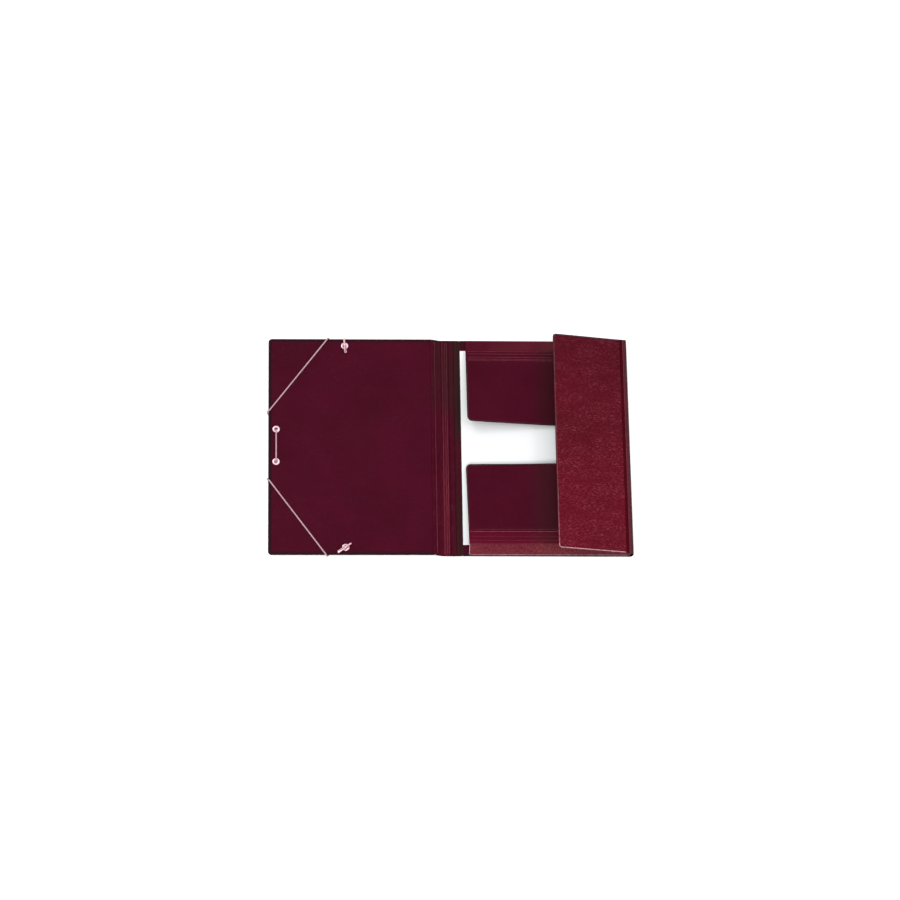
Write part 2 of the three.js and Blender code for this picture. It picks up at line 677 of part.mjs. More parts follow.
const backRadii = [CORNER_RADIUS, CORNER_RADIUS, HINGE_CORNER_RADIUS, HINGE_CORNER_RADIUS];
const backPanel = weldedPanel(BACK_HINGE_X + HINGE_GAP / 2, BACK_EDGE, -HALF_HEIGHT, HALF_HEIGHT, backRadii);
folder.add(piece('back_cover', backPanel, coverFilm));
folder.add(piece('spine', makeSpine(), coverFilm));
folder.add(piece('paper_sheets', makePaper(), paperWhite));

const topFlap = makeFoldedFlap({
  side: 1,
  gusset: TOP_GUSSET,
  body: TOP_BODY,
  creases: TOP_CREASES,
  skew: 0,
  hingeHeight: () => TOP_HINGE_HEIGHT,
  edgeHeight: topEdgeHeight,
});
folder.add(piece('top_flap', topFlap, flapFilm));

const bottomFlap = makeFoldedFlap({
  side: -1,
  gusset: BOTTOM_GUSSET,
  body: BOTTOM_BODY,
  creases: BOTTOM_CREASES,
  skew: BOTTOM_SKEW,
  hingeHeight: bottomHingeHeight,
  edgeHeight: bottomEdgeHeight,
});
folder.add(piece('bottom_flap', bottomFlap, flapFilm));
folder.add(piece('side_gusset', makeSideGusset(), flapFilm));
folder.add(piece('side_flap', makeSideFlap(), flapFilm));

const frontCover = new THREE.Group();
frontCover.position.set(FRONT_HINGE_X, 0, FRONT_HINGE_HEIGHT);
frontCover.rotation.y = -COVER_TILT;
frontCover.add(piece('front_cover', makeFrontCover(), coverFilm));
for (const place of eyeletPlaces) {
  const eyelet = piece(place.name, makeEyelet(), bareMetal);
  eyelet.position.set(place.x, place.y, 0);
  frontCover.add(eyelet);
}
frontCover.add(piece('elastic_cord', makeCord(), cordFabric));
const bars = [
  { name: 'cord_bar_top', place: eyeletPlaces[0], turn: TOP_BAR_TURN },
  { name: 'cord_bar_bottom', place: eyeletPlaces[3], turn: BOTTOM_BAR_TURN },
];
for (const { name, place, turn } of bars) {
  const bar = piece(name, makeBar(), barMetal);
  bar.position.set(place.x, place.y, barAxisHeight);
  bar.rotation.z = THREE.MathUtils.degToRad(turn);
  frontCover.add(bar);
}
folder.add(frontCover);

export default folder;
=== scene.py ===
"""Looks of an open three-flap document folder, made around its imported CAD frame."""

import math

import bmesh
import bpy
from mathutils import Matrix, Vector
from mathutils.bvhtree import BVHTree
from mathutils.geometry import convex_hull_2d


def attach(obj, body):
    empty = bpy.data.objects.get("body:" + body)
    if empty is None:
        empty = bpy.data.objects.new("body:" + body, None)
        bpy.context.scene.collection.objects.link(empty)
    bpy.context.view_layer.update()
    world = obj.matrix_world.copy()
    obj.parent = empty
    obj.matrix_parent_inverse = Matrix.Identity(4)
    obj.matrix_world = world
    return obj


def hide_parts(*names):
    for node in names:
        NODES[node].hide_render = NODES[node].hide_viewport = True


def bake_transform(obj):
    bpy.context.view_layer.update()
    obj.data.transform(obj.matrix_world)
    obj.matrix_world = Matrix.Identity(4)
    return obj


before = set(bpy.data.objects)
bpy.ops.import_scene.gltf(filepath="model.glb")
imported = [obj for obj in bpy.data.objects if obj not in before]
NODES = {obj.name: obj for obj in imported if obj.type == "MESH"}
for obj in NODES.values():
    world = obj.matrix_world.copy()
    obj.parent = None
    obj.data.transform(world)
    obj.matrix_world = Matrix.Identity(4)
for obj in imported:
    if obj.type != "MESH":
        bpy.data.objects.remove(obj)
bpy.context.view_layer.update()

bl_info = {
    "name": "Document Folder Maker",
    "version": (1, 0, 0),
    "blender": (4, 5, 0),
    "location": "View3D > Sidebar > Folder",
    "description": "Finishes an open film-covered document folder with flaps and an elastic cord",
    "category": "Add Mesh",
}

MM = 0.001

# Places of the construction, in millimetres, as the solids have them
FOLDER_HEIGHT = 330.0
BACK_HINGE_X = -120.5
SPINE_WIDTH = 38.8
FRONT_HINGE_X = BACK_HINGE_X - SPINE_WIDTH
FRONT_HINGE_Z = 6.3
FRONT_WIDTH = 234.0
RIM_TOP = 1.7
RIM_BASE = 0.7
RIM_WIDTH = 2.6
COVER_EDGE_LIFT = 3.0
COVER_TILT = math.asin((FRONT_HINGE_Z - COVER_EDGE_LIFT - RIM_TOP) / FRONT_WIDTH)
WING_START = 27.6
WING_END = SPINE_WIDTH - 0.15
WING_LOW_TOP = 1.5
SIDE_HINGE_X = 112.0
SIDE_FILM_TOP = 11.79
FLAP_RISE = 0.2144
GUSSET_FALL = 0.2
WELD_INSET = 1.6
FLAP_SIDE_INSET = 9.0
HINGE_END_INSET = 1.2
CREASE_X = (-109.5, 113.5)
LINE_SINK = -0.08
FOOT_WELD_Y = -163.2

# Where the creases' bright ridges run: y on the flaps, distance from the back hinge on the spine
TOP_CREASE_ROWS = (146.6, 142.5, 137.1, 134.0, 132.2)
BOTTOM_CREASE_ROWS = (-132.3,)
BOTTOM_FINE_ROWS = (-149.9, -146.0, -140.1, -128.9)
SPINE_RIDGES = (18.3, 20.8, 24.6, 35.4)

# The camera that the photograph was taken with, fitted to measured points
CAMERA_PLACE = (-0.40979, -1.97742, 4.84786)
CAMERA_TILT = 0.39
CAMERA_TURN = 0.138
CAMERA_ROLL = -0.017
CAMERA_FOCAL_PIXELS = 3692.8
PICTURE_PIXELS = 900.0
SENSOR_WIDTH = 36.0

# Each lamp's side, the direction it stands in, its distance and its width in metres
LAMPS = (
    ("right", (0.68, -0.10, 0.72), 1.7, 0.35),
    ("front", (-0.10, -0.76, 0.64), 1.5, 0.5),
    ("back", (-0.50, 0.42, 0.76), 1.8, 0.7),
)

# The floor, in metres, and the strength of its glow
FLOOR_HALF_WIDTH = 6.0
FLOOR_GAP = 0.0002
FLOOR_GLOW = 0.45
GLOW_REACH = 0.012


def srgb(red, green, blue):
    """Turn a colour given in 0 to 255 display values into linear values with alpha."""

    def linear(value):
        share = value / 255.0
        if share <= 0.04045:
            return share / 12.92
        return ((share + 0.055) / 1.055) ** 2.4

    return (linear(red), linear(green), linear(blue), 1.0)


def length_setting(name, description, default):
    """A length in metres that can be set in the sidebar."""
    return bpy.props.FloatProperty(
        name=name,
        description=description,
        default=default,
        subtype="DISTANCE",
        unit="LENGTH",
    )


def colour_setting(name, description, default):
    """A colour that can be set in the sidebar."""
    return bpy.props.FloatVectorProperty(
        name=name,
        description=description,
        subtype="COLOR",
        size=4,
        min=0.0,
        max=1.0,
        default=default,
    )


class FolderSizes(bpy.types.PropertyGroup):
    """Sizes of the film, its welds and creases, and the cord."""

    grain_size: length_setting(
        "Grain Size",
        "Width of one cell of the film's leather grain",
        0.0011,
    )
    wrinkle_length: length_setting(
        "Wrinkle Length",
        "Length of the fine wrinkles in the outer film",
        0.0024,
    )
    hinge_film: length_setting(
        "Hinge Film",
        "Thickness of the film that crosses each hinge",
        0.00022,
    )
    cord_diameter: length_setting(
        "Cord Diameter",
        "Diameter of the elastic cord",
        0.002,
    )
    cord_sides: bpy.props.IntProperty(
        name="Cord Sides",
        description="Number of faces round the elastic cord",
        default=16,
    )
    weld_radius: length_setting(
        "Weld Radius",
        "Radius of the bead that the film's edge weld leaves",
        0.0005,
    )
    crease_ridge: length_setting(
        "Crease Ridge",
        "Radius of the fine ridge beside each pressed crease",
        0.00028,
    )


class FolderColours(bpy.types.PropertyGroup):
    """Colours of the folder's materials."""

    inner_film: colour_setting(
        "Inner Film",
        "Colour of the smooth film inside the covers",
        srgb(72, 7, 31),
    )
    outer_film: colour_setting(
        "Outer Film",
        "Colour of the grained film on the outside",
        srgb(94, 1, 26),
    )
    flap_film: colour_setting(
        "Flap Film",
        "Colour of the film on the top and bottom flaps",
        srgb(73, 7, 31),
    )
    spine_film: colour_setting(
        "Spine Film",
        "Colour of the creased film on the spine",
        srgb(72, 7, 29),
    )
    # Paler than the film: painted highlight on the crease, fold and spine ridges
    weld: colour_setting(
        "Weld",
        "Colour of the polished film along the welds and creases",
        srgb(128, 46, 60),
    )
    # Painted light: the bottom gusset's front-lit colour, also used for paler patches on the top gusset
    lit_and_paler_film: colour_setting(
        "Rubbed Film",
        "Colour of the grained film where handling has rubbed it paler",
        srgb(126, 55, 58),
    )
    paper: colour_setting(
        "Paper",
        "Colour of the paper in the folder",
        (0.96, 0.985, 0.99, 1.0),
    )
    metal: colour_setting(
        "Metal",
        "Colour of the eyelets and the cord bars",
        srgb(244, 200, 210),
    )
    cord: colour_setting(
        "Cord",
        "Colour of the elastic cord",
        srgb(208, 168, 180),
    )


class StudioSettings(bpy.types.PropertyGroup):
    """Each light's strength, as a share of full light on the folder."""

    sky_share: bpy.props.FloatProperty(
        name="Surround",
        description="Share of the even white light from all round",
        default=0.72,
    )
    right_share: bpy.props.FloatProperty(
        name="Right Light",
        description="Share of the light from the right, which the raised side flap shades",
        default=0.075,
    )
    front_share: bpy.props.FloatProperty(
        name="Front Light",
        description="Share of the light from in front of the folder's lower edge",
        default=0.22,
    )
    back_share: bpy.props.FloatProperty(
        name="Back Light",
        description="Share of the light from behind on the left",
        default=0.12,
    )


# How the painted light on the ridge and weld films changes along y: (y in mm, factors)
# Painted highlight on the spine ridges, brightest towards the bottom
SPINE_RIDGE_HIGHLIGHT_ROWS = (
    (-165.0, (1.2, 1.1, 1.1)),
    (40.0, (0.9, 0.8, 0.9)),
    (70.0, (0.35, 0.4, 0.38)),
    (165.0, (0.6, 0.6, 0.6)),
)
# Painted highlight on the side flap's bead along its bottom edge, painted shade along its other edges
SIDE_WELD_HIGHLIGHT_ROWS = (
    (-165.0, (1.0, 0.95, 0.95)),
    (-158.5, (0.95, 0.85, 0.85)),
    (-155.0, (0.5, 0.3, 0.32)),
    (-60.0, (0.22, 0.08, 0.1)),
    (165.0, (0.12, 0.04, 0.05)),
)
# Painted highlight colour of the side flap's and gussets' edge beads
WELD_HIGHLIGHT = srgb(206, 160, 172)
# Painted shade colour of the top and bottom flaps' edge beads
WELD_SHADE = srgb(52, 22, 30)

# Brown of the films' uneven zones, also laid on as the painted shadow of the side flap and painted
# shade on the spine
BROWN_TONE = srgb(50, 28, 27)
# Painted shade colour along the covers' rounded rims
EDGE_SHADE_TONE = srgb(34, 18, 24)
# Painted highlight colour on the spine's middle creases
CREASE_HIGHLIGHT = srgb(106, 30, 46)

# How each film looks: amount of grain and wrinkles, finish, and how far browner zones show; the rows,
# edge shade, outer wall and side flap shadow entries are painted light and shade
EVEN = (1.0, 1.0, 1.0)
SMOOTH_FILM = {
    "grain": 0.30,
    "wrinkles": 0.08,
    "roughness": 0.5,
    "gloss": 0.04,
    "brown": 0.10,
    "streak_scale": EVEN,
    "zone_scale": EVEN,
}
GRAINED_FILM = {
    "grain": 0.8,
    "wrinkles": 0.6,
    "roughness": 0.36,
    "gloss": 0.08,
    "brown": 0.0,
    "streak_scale": (2.1, 0.75, 1.0),
    "zone_scale": EVEN,
}
LOOKS = {
    "inside": {**SMOOTH_FILM, "painted_edge_shade": 6.2},
    "flap_inside": SMOOTH_FILM,
    "outside": GRAINED_FILM,
    "side_flap": {
        **GRAINED_FILM,
        "wrinkles": 1.0,
        "streak_scale": (0.6, 2.4, 1.0),
        # Painted light: the side flap brighter towards its bottom edge
        "rows": (
            (-165.0, (1.16, 1.16, 1.16)),
            (0.0, EVEN),
            (165.0, (0.82, 0.82, 0.9)),
        ),
    },
    "gusset": {
        **GRAINED_FILM,
        "wrinkles": 0.3,
        "gloss": 0.14,
        "brown": 0.3,
        "streak_scale": (2.0, 0.8, 1.0),
        "zone_scale": (1.0, 3.0, 1.0),
        # Painted shade on the gusset's outer wall from here
        "outer_wall": 117.8,
    },
    "spine": {
        "painted_edge_shade": 3.5,
        # Painted shade by the back hinge and painted highlights on the middle creases
        "spine_shade_and_highlights": True,
        "grain": 0.25,
        "wrinkles": 0.28,
        "roughness": 0.42,
        "gloss": 0.03,
        "brown": 0.0,
        "streak_scale": (6.0, 0.2, 1.0),
        "zone_scale": (9.0, 1.0, 1.0),
    },
    "flap": {
        "grain": 0.45,
        "wrinkles": 0.10,
        "roughness": 0.4,
        "gloss": 0.035,
        "brown": 0.05,
        # Painted shadow of the raised side flap on the flaps
        "painted_side_flap_shadow": (-20.0, 8.0),
        "streak_scale": (1.0, 2.0, 1.0),
        "zone_scale": (1.2, 1.0, 1.0),
        # Painted light on the bottom flap's gusset and crease band, and on the top flap's creases and
        # gusset
        "rows": (
            (-150.6, (1.5, 1.5, 1.5)),
            (-149.6, (1.7, 1.3, 1.3)),
            (-132.8, (1.6, 1.2, 1.2)),
            (-129.0, EVEN),
            (124.0, EVEN),
            (133.0, (1.25, 1.4, 1.2)),
        ),
    },
}

# Where the films change their tone, and where painted shade and painted light fall on them, as
# distances in metres
SPINE_TOP_STARTS = (0.040, 0.060)
SPINE_LEFT_FADES = (-0.1580, -0.1450)
SPINE_HINGE_BAND = (-0.1335, -0.1260)
SPINE_PALE_LEFT = (-0.1480, -0.1465)
SPINE_PALE_RIGHT = (-0.1375, -0.1395)
SPINE_PALE_FADES = (0.05, -0.07)
TOP_GUSSET_PALER = (0.1470, 0.1482)
BOTTOM_GUSSET_LIT = (-0.1500, -0.1512)
BOTTOM_PALER_TO_EDGE = (-0.150, -0.163)
# How far the painted shadow of the side flap leans along y
SIDE_FLAP_SHADOW_SLANT = 0.009
MARGIN_FADE = 0.003
FORE_FADE = 0.002
WALL_FADE = 0.0006

# The cord's braid: threads round it, and the length of one crossing in metres
BRAID_THREADS = 6
BRAID_LENGTH = 0.0021

# Depth of the films' bumps, and how strongly the light shows them
FILM_BUMP = 0.00016
FILM_BUMP_STRENGTH = 0.8


class Nodes:
    """Short ways to add and join nodes in one tree."""

    def __init__(self, tree):
        self.tree = tree

    def add(self, kind, **settings):
        """Add a node and set its own settings."""
        node = self.tree.nodes.new(kind)
        for key, value in settings.items():
            setattr(node, key, value)
        return node

    def link(self, source, target):
        """Join an output to an input."""
        self.tree.links.new(source, target)

    def math(self, operation, first, second=None, clamp=False):
        """One calculation on numbers or sockets."""
        node = self.add("ShaderNodeMath", operation=operation, use_clamp=clamp)
        for socket, value in zip(node.inputs, (first, second)):
            if isinstance(value, (int, float)):
                socket.default_value = value
            elif value is not None:
                self.link(value, socket)
        return node.outputs[0]

    def product(self, *values):
        """All the values multiplied together."""
        result = values[0]
        for value in values[1:]:
            result = self.math("MULTIPLY", result, value)
        return result

    def ramp(self, source, low, high, out_low=0.0, out_high=1.0):
        """Turn the range from low to high into another range, and hold it at the ends."""
        node = self.add("ShaderNodeMapRange")
        self.link(source, node.inputs["Value"])
        for name, value in zip(
            ("From Min", "From Max", "To Min", "To Max"),
            (low, high, out_low, out_high),
        ):
            node.inputs[name].default_value = value
        return node.outputs["Result"]

    def split(self, vector):
        """The x, y and z of a vector."""
        node = self.add("ShaderNodeSeparateXYZ")
        self.link(vector, node.inputs["Vector"])
        return node.outputs["X"], node.outputs["Y"], node.outputs["Z"]

    def seen_rays(self):
        """1 for rays that come from the camera, and 1 for those from mirrors and through glass."""
        rays = self.add("ShaderNodeLightPath").outputs
        mirrored = self.math("MAXIMUM", rays["Is Glossy Ray"], rays["Is Transmission Ray"])
        return rays["Is Camera Ray"], mirrored

    def bump(self, height, strength, distance, shader):
        """Give a shader bumps from a height."""
        node = self.add("ShaderNodeBump")
        node.inputs["Strength"].default_value = strength
        node.inputs["Distance"].default_value = distance
        self.link(height, node.inputs["Height"])
        self.link(node.outputs["Normal"], shader.inputs["Normal"])

    def noise(self, vector, scale, detail=3.0, roughness=0.55):
        """Uneven values from 0 to 1; a greater scale is finer."""
        node = self.add("ShaderNodeTexNoise")
        self.link(vector, node.inputs["Vector"])
        node.inputs["Scale"].default_value = scale
        node.inputs["Detail"].default_value = detail
        node.inputs["Roughness"].default_value = roughness
        return node.outputs["Fac"]

    def stretched(self, vector, scale):
        """A place with each axis scaled."""
        node = self.add("ShaderNodeMapping")
        node.inputs["Scale"].default_value = scale
        self.link(vector, node.inputs["Vector"])
        return node.outputs["Vector"]

    def painted_light_rows(self, place, base, rows):
        """Painted light: multiply a colour by factors that change along y; rows are (y in mm, factors).
        """
        half = FOLDER_HEIGHT / 2 * MM
        share = self.ramp(self.split(place)[1], -half, half)
        curve = self.add("ShaderNodeValToRGB")
        self.link(share, curve.inputs["Fac"])
        stops = curve.color_ramp.elements
        while len(stops) < len(rows):
            stops.new(0.5)
        for stop, (y, factors) in zip(stops, rows):
            stop.position = y / FOLDER_HEIGHT + 0.5
            stop.color = (*(factor / 2 for factor in factors), 1.0)
        halved = self.add("ShaderNodeVectorMath", operation="MULTIPLY")
        self.link(base, halved.inputs[0])
        self.link(curve.outputs["Color"], halved.inputs[1])
        whole = self.add("ShaderNodeVectorMath", operation="SCALE")
        whole.inputs["Scale"].default_value = 2.0
        self.link(halved.outputs["Vector"], whole.inputs[0])
        return whole.outputs["Vector"]

    def mix_value(self, factor, first, second):
        """From the first value to the second as the factor goes from 0 to 1."""
        node = self.add("ShaderNodeMix", data_type="FLOAT")
        for index, value in ((0, factor), (2, first), (3, second)):
            self.link(value, node.inputs[index])
        return node.outputs[0]

    def mix_colour(self, factor, first, second):
        """From the first colour to the second as the factor goes from 0 to 1."""
        node = self.add("ShaderNodeMix", data_type="RGBA")
        self.link(factor, node.inputs["Factor"])
        for name, value in (("A", first), ("B", second)):
            socket = [s for s in node.inputs if s.name == name and s.type == "RGBA"][0]
            if isinstance(value, bpy.types.NodeSocket):
                self.link(value, socket)
            else:
                socket.default_value = value
        return [s for s in node.outputs if s.type == "RGBA"][0]


def new_material(name):
    """A fresh material with its shader, and the helper to build its nodes."""
    material = bpy.data.materials.new(name)
    material.use_nodes = True
    tree = material.node_tree
    shader = tree.nodes["Principled BSDF"]
    return material, Nodes(tree), shader


def shade(colour, factor, veil=0.0):
    """A colour made darker or lighter by one factor, with a little white laid over it."""
    return (*(min(part * factor + veil, 1.0) for part in colour[:3]), 1.0)


def painted_edge_shade(nodes, x, y, base, margin):
    """Painted shade: darken the film along the covers' ends and the front cover's fore edge, where the
    rounded weld rims look dark.
    """
    start = (FOLDER_HEIGHT / 2 - margin) * MM
    ends = nodes.ramp(nodes.math("ABSOLUTE", y), start, start + MARGIN_FADE, 0.0, 0.75)
    fore = (FRONT_HINGE_X - FRONT_WIDTH + margin) * MM
    outer = nodes.ramp(x, fore, fore - FORE_FADE, 0.0, 0.75)
    return nodes.mix_colour(nodes.math("MAXIMUM", ends, outer), base, EDGE_SHADE_TONE)


def painted_wall_shade(nodes, x, base, colour, wall):
    """Painted shade: darken the gusset's outer wall, which starts at x = wall."""
    red, green, blue = colour[:3]
    wall_shade = (red * 0.25, green * 0.25, blue * 0.3, 1.0)
    dark = nodes.ramp(x, wall * MM, wall * MM + WALL_FADE, 0.0, 0.75)
    return nodes.mix_colour(dark, base, wall_shade)


def painted_side_flap_shadow(nodes, x, y, base, streak, limits):
    """Painted shadow of the raised side flap: the browner half of the top and bottom flaps, which the
    side flap covers.
    """
    start, full = (limit * MM for limit in limits)
    wider = nodes.math("ADD", x, nodes.ramp(y, -0.02, 0.02, SIDE_FLAP_SHADOW_SLANT, 0.0))
    shadowed = nodes.ramp(wider, start, full, 0.0, 0.5)
    uneven = nodes.product(shadowed, nodes.ramp(streak, 0.3, 0.6, 0.7, 1.0))
    return nodes.mix_colour(uneven, base, BROWN_TONE)


def spine_tones_and_painted_light(nodes, x, y, base, zones, streak):
    """The spine's browner film near its top, painted shade near the back hinge, and painted highlights
    on the paler middle creases, stronger towards the bottom.
    """
    near_top = nodes.ramp(y, *SPINE_TOP_STARTS, 0.0, 0.62)
    patchy = nodes.ramp(zones, 0.38, 0.60, 0.35, 1.0)
    inward = nodes.ramp(x, *SPINE_LEFT_FADES, 0.45, 1.0)
    upper_end = nodes.ramp(y, 0.0, 0.03, 0.3, 0.95)
    lower_end = nodes.ramp(y, -0.06, -0.10, 0.3, 0.8)
    ends = nodes.math("MAXIMUM", upper_end, lower_end)
    # Painted shade along the back hinge, stronger towards the spine's ends
    hinge_shade = nodes.product(nodes.ramp(x, *SPINE_HINGE_BAND), ends)
    brown = nodes.math("MAXIMUM", nodes.product(near_top, patchy, inward), hinge_shade)
    base = nodes.mix_colour(brown, base, BROWN_TONE)
    # Painted highlight on the middle creases, stronger towards the bottom
    middle = nodes.product(nodes.ramp(x, *SPINE_PALE_LEFT), nodes.ramp(x, *SPINE_PALE_RIGHT))
    toward_bottom = nodes.ramp(y, *SPINE_PALE_FADES, 0.1, 0.85)
    threads = nodes.ramp(streak, 0.42, 0.60, 0.2, 1.0)
    return nodes.mix_colour(nodes.product(middle, toward_bottom, threads), base, CREASE_HIGHLIGHT)


def lit_and_paler_gussets(nodes, place, y, base, zones, slow, rubbed):
    """The paler grained film on the gussets: painted light on the bottom flap's gusset, stronger
    towards its foot, and uneven paler patches on the top flap's gusset.
    """
    fine = nodes.noise(nodes.stretched(place, (2.0, 1.0, 1.0)), 330.0, 4.0, 0.65)
    lower = nodes.product(
        nodes.ramp(y, *BOTTOM_GUSSET_LIT),
        nodes.ramp(y, *BOTTOM_PALER_TO_EDGE, 0.6, 1.0),
        nodes.ramp(fine, 0.38, 0.62, 0.1, 1.1),
        nodes.ramp(slow, 0.35, 0.65, 0.75, 1.1),
    )
    upper = nodes.product(nodes.ramp(y, *TOP_GUSSET_PALER, 0.0, 0.24), nodes.ramp(zones, 0.4, 0.6, 0.2, 1.3))
    return nodes.mix_colour(nodes.math("ADD", lower, upper, clamp=True), base, rubbed)


def grain_cells(nodes, place, size):
    """The leather grain: the distance from the furrows between rounded, uneven cells."""
    warp = nodes.add("ShaderNodeTexNoise")
    nodes.link(place, warp.inputs["Vector"])
    warp.inputs["Scale"].default_value = 0.35 / size
    bent = nodes.add("ShaderNodeVectorMath", operation="MULTIPLY_ADD")
    nodes.link(warp.outputs["Color"], bent.inputs[0])
    bent.inputs[1].default_value = (size * 0.8,) * 3
    nodes.link(place, bent.inputs[2])
    cells = nodes.add("ShaderNodeTexVoronoi", feature="DISTANCE_TO_EDGE")
    nodes.link(bent.outputs[0], cells.inputs["Vector"])
    cells.inputs["Scale"].default_value = 1.0 / size
    return nodes.ramp(cells.outputs["Distance"], 0.0, 0.22)


def film_layer(nodes, place, colour, sizes, look, rubbed=None):
    """One film's colour, height and roughness: leather grain, wrinkles, tones and browner zones, with
    painted highlights on the wrinkle crests and painted shade in the wrinkle and grain furrows.
    """
    grain, wrinkles = look["grain"], look["wrinkles"]
    pebble = grain_cells(nodes, place, sizes.grain_size)
    pore = nodes.noise(place, 3.0 / sizes.grain_size, 2.0)
    streak_place = nodes.stretched(place, look["streak_scale"])
    streak = nodes.noise(streak_place, 1.0 / sizes.wrinkle_length, 6.0, 0.66)
    patches = nodes.noise(nodes.stretched(place, (0.7, 2.6, 1.0)), 30.0, 4.0, 0.6)
    slow = nodes.noise(place, 11.0, 3.0)
    zones = nodes.noise(nodes.stretched(place, look["zone_scale"]), 9.0, 2.0)
    tone = nodes.ramp(slow, 0.32, 0.68)
    base = nodes.mix_colour(tone, shade(colour, 0.86), shade(colour, 1.12))
    base = nodes.mix_colour(nodes.ramp(zones, 0.52, 0.68, 0.0, look["brown"]), base, BROWN_TONE)
    where = nodes.ramp(patches, 0.38, 0.62, 0.3, 1.3)
    # Painted highlight with a white sheen on the wrinkle crests
    crest_highlight = nodes.product(nodes.ramp(streak, 0.51, 0.66), where, wrinkles)
    base = nodes.mix_colour(crest_highlight, base, shade(colour, 2.1, 0.042))
    # Painted shade in the wrinkle furrows
    furrow_shade = nodes.ramp(streak, 0.34, 0.46, 0.5 * wrinkles, 0.0)
    base = nodes.mix_colour(furrow_shade, base, shade(colour, 0.45))
    # Painted shade in the grain's furrows
    valley_shade = nodes.ramp(pebble, 0.0, 1.0, 0.5 * grain, 0.0)
    base = nodes.mix_colour(valley_shade, base, shade(colour, 0.5))
    x, y, _ = nodes.split(place)
    # Painted light that changes along y
    if "rows" in look:
        base = nodes.painted_light_rows(place, base, look["rows"])
    if "painted_edge_shade" in look:
        base = painted_edge_shade(nodes, x, y, base, look["painted_edge_shade"])
    if "outer_wall" in look:
        base = painted_wall_shade(nodes, x, base, colour, look["outer_wall"])
    if "painted_side_flap_shadow" in look:
        base = painted_side_flap_shadow(nodes, x, y, base, streak, look["painted_side_flap_shadow"])
    if "spine_shade_and_highlights" in look:
        base = spine_tones_and_painted_light(nodes, x, y, base, zones, streak)
    # Painted light on the bottom gusset, and paler patches on the top gusset
    if rubbed is not None:
        base = lit_and_paler_gussets(nodes, place, y, base, zones, slow, rubbed)
    rough = nodes.ramp(pebble, 0.0, 1.0, look["roughness"] + 0.12, look["roughness"] - 0.03)
    height = nodes.product(pebble, 0.6 * grain)
    height = nodes.math("ADD", height, nodes.product(pore, 0.25 * grain))
    height = nodes.math("ADD", height, nodes.product(streak, 3.0 * wrinkles))
    return base, height, rough


def film_material(name, colour, sizes, look, rubbed=None, underside=None):
    """Film on board; underside is the (colour, look) of the faces that look down at rest."""
    material, nodes, shader = new_material(name)
    coordinates = nodes.add("ShaderNodeTexCoord")
    place = coordinates.outputs["Object"]
    base, height, rough = film_layer(nodes, place, colour, sizes, look, rubbed)
    if underside is not None:
        under = film_layer(nodes, place, underside[0], sizes, underside[1])
        down = nodes.ramp(nodes.split(coordinates.outputs["Normal"])[2], -0.2, -0.4)
        base = nodes.mix_colour(down, base, under[0])
        height = nodes.mix_value(down, height, under[1])
        rough = nodes.mix_value(down, rough, under[2])
    nodes.link(base, shader.inputs["Base Color"])
    nodes.link(rough, shader.inputs["Roughness"])
    shader.inputs["Specular IOR Level"].default_value = look["gloss"]
    nodes.bump(height, FILM_BUMP_STRENGTH, FILM_BUMP, shader)
    return material


def polished_material(name, colour, gloss, rows=None):
    """Film pressed smooth by the welding tool or by a crease."""
    material, nodes, shader = new_material(name)
    place = nodes.add("ShaderNodeTexCoord").outputs["Object"]
    broken = nodes.noise(place, 260.0, 3.0)
    tone = nodes.ramp(broken, 0.35, 0.65)
    base = nodes.mix_colour(tone, shade(colour, 0.55), shade(colour, 1.15))
    if rows is not None:
        base = nodes.painted_light_rows(place, base, rows)
    nodes.link(base, shader.inputs["Base Color"])
    shader.inputs["Roughness"].default_value = 0.3
    shader.inputs["Specular IOR Level"].default_value = gloss
    return material


def paper_material(colour):
    """Plain white paper with a faint fibre."""
    material, nodes, shader = new_material("white_paper")
    place = nodes.add("ShaderNodeTexCoord").outputs["Object"]
    fibre = nodes.noise(place, 900.0, 4.0)
    tone = nodes.ramp(fibre, 0.3, 0.7)
    base = nodes.mix_colour(tone, shade(colour, 0.985), colour)
    nodes.link(base, shader.inputs["Base Color"])
    shader.inputs["Roughness"].default_value = 0.85
    shader.inputs["Specular IOR Level"].default_value = 0.2
    nodes.bump(fibre, 0.15, 0.00005, shader)
    return material


def metal_material(name, colour, roughness):
    """Plated metal with fine drawing marks."""
    material, nodes, shader = new_material(name)
    place = nodes.add("ShaderNodeTexCoord").outputs["Object"]
    marks = nodes.noise(nodes.stretched(place, (1.0, 1.0, 9.0)), 1400.0, 3.0)
    tone = nodes.ramp(marks, 0.3, 0.7)
    base = nodes.mix_colour(tone, shade(colour, 0.9), colour)
    nodes.link(base, shader.inputs["Base Color"])
    rough = nodes.ramp(marks, 0.3, 0.7, roughness - 0.04, roughness + 0.08)
    nodes.link(rough, shader.inputs["Roughness"])
    shader.inputs["Metallic"].default_value = 1.0
    nodes.bump(marks, 0.2, 0.00003, shader)
    return material


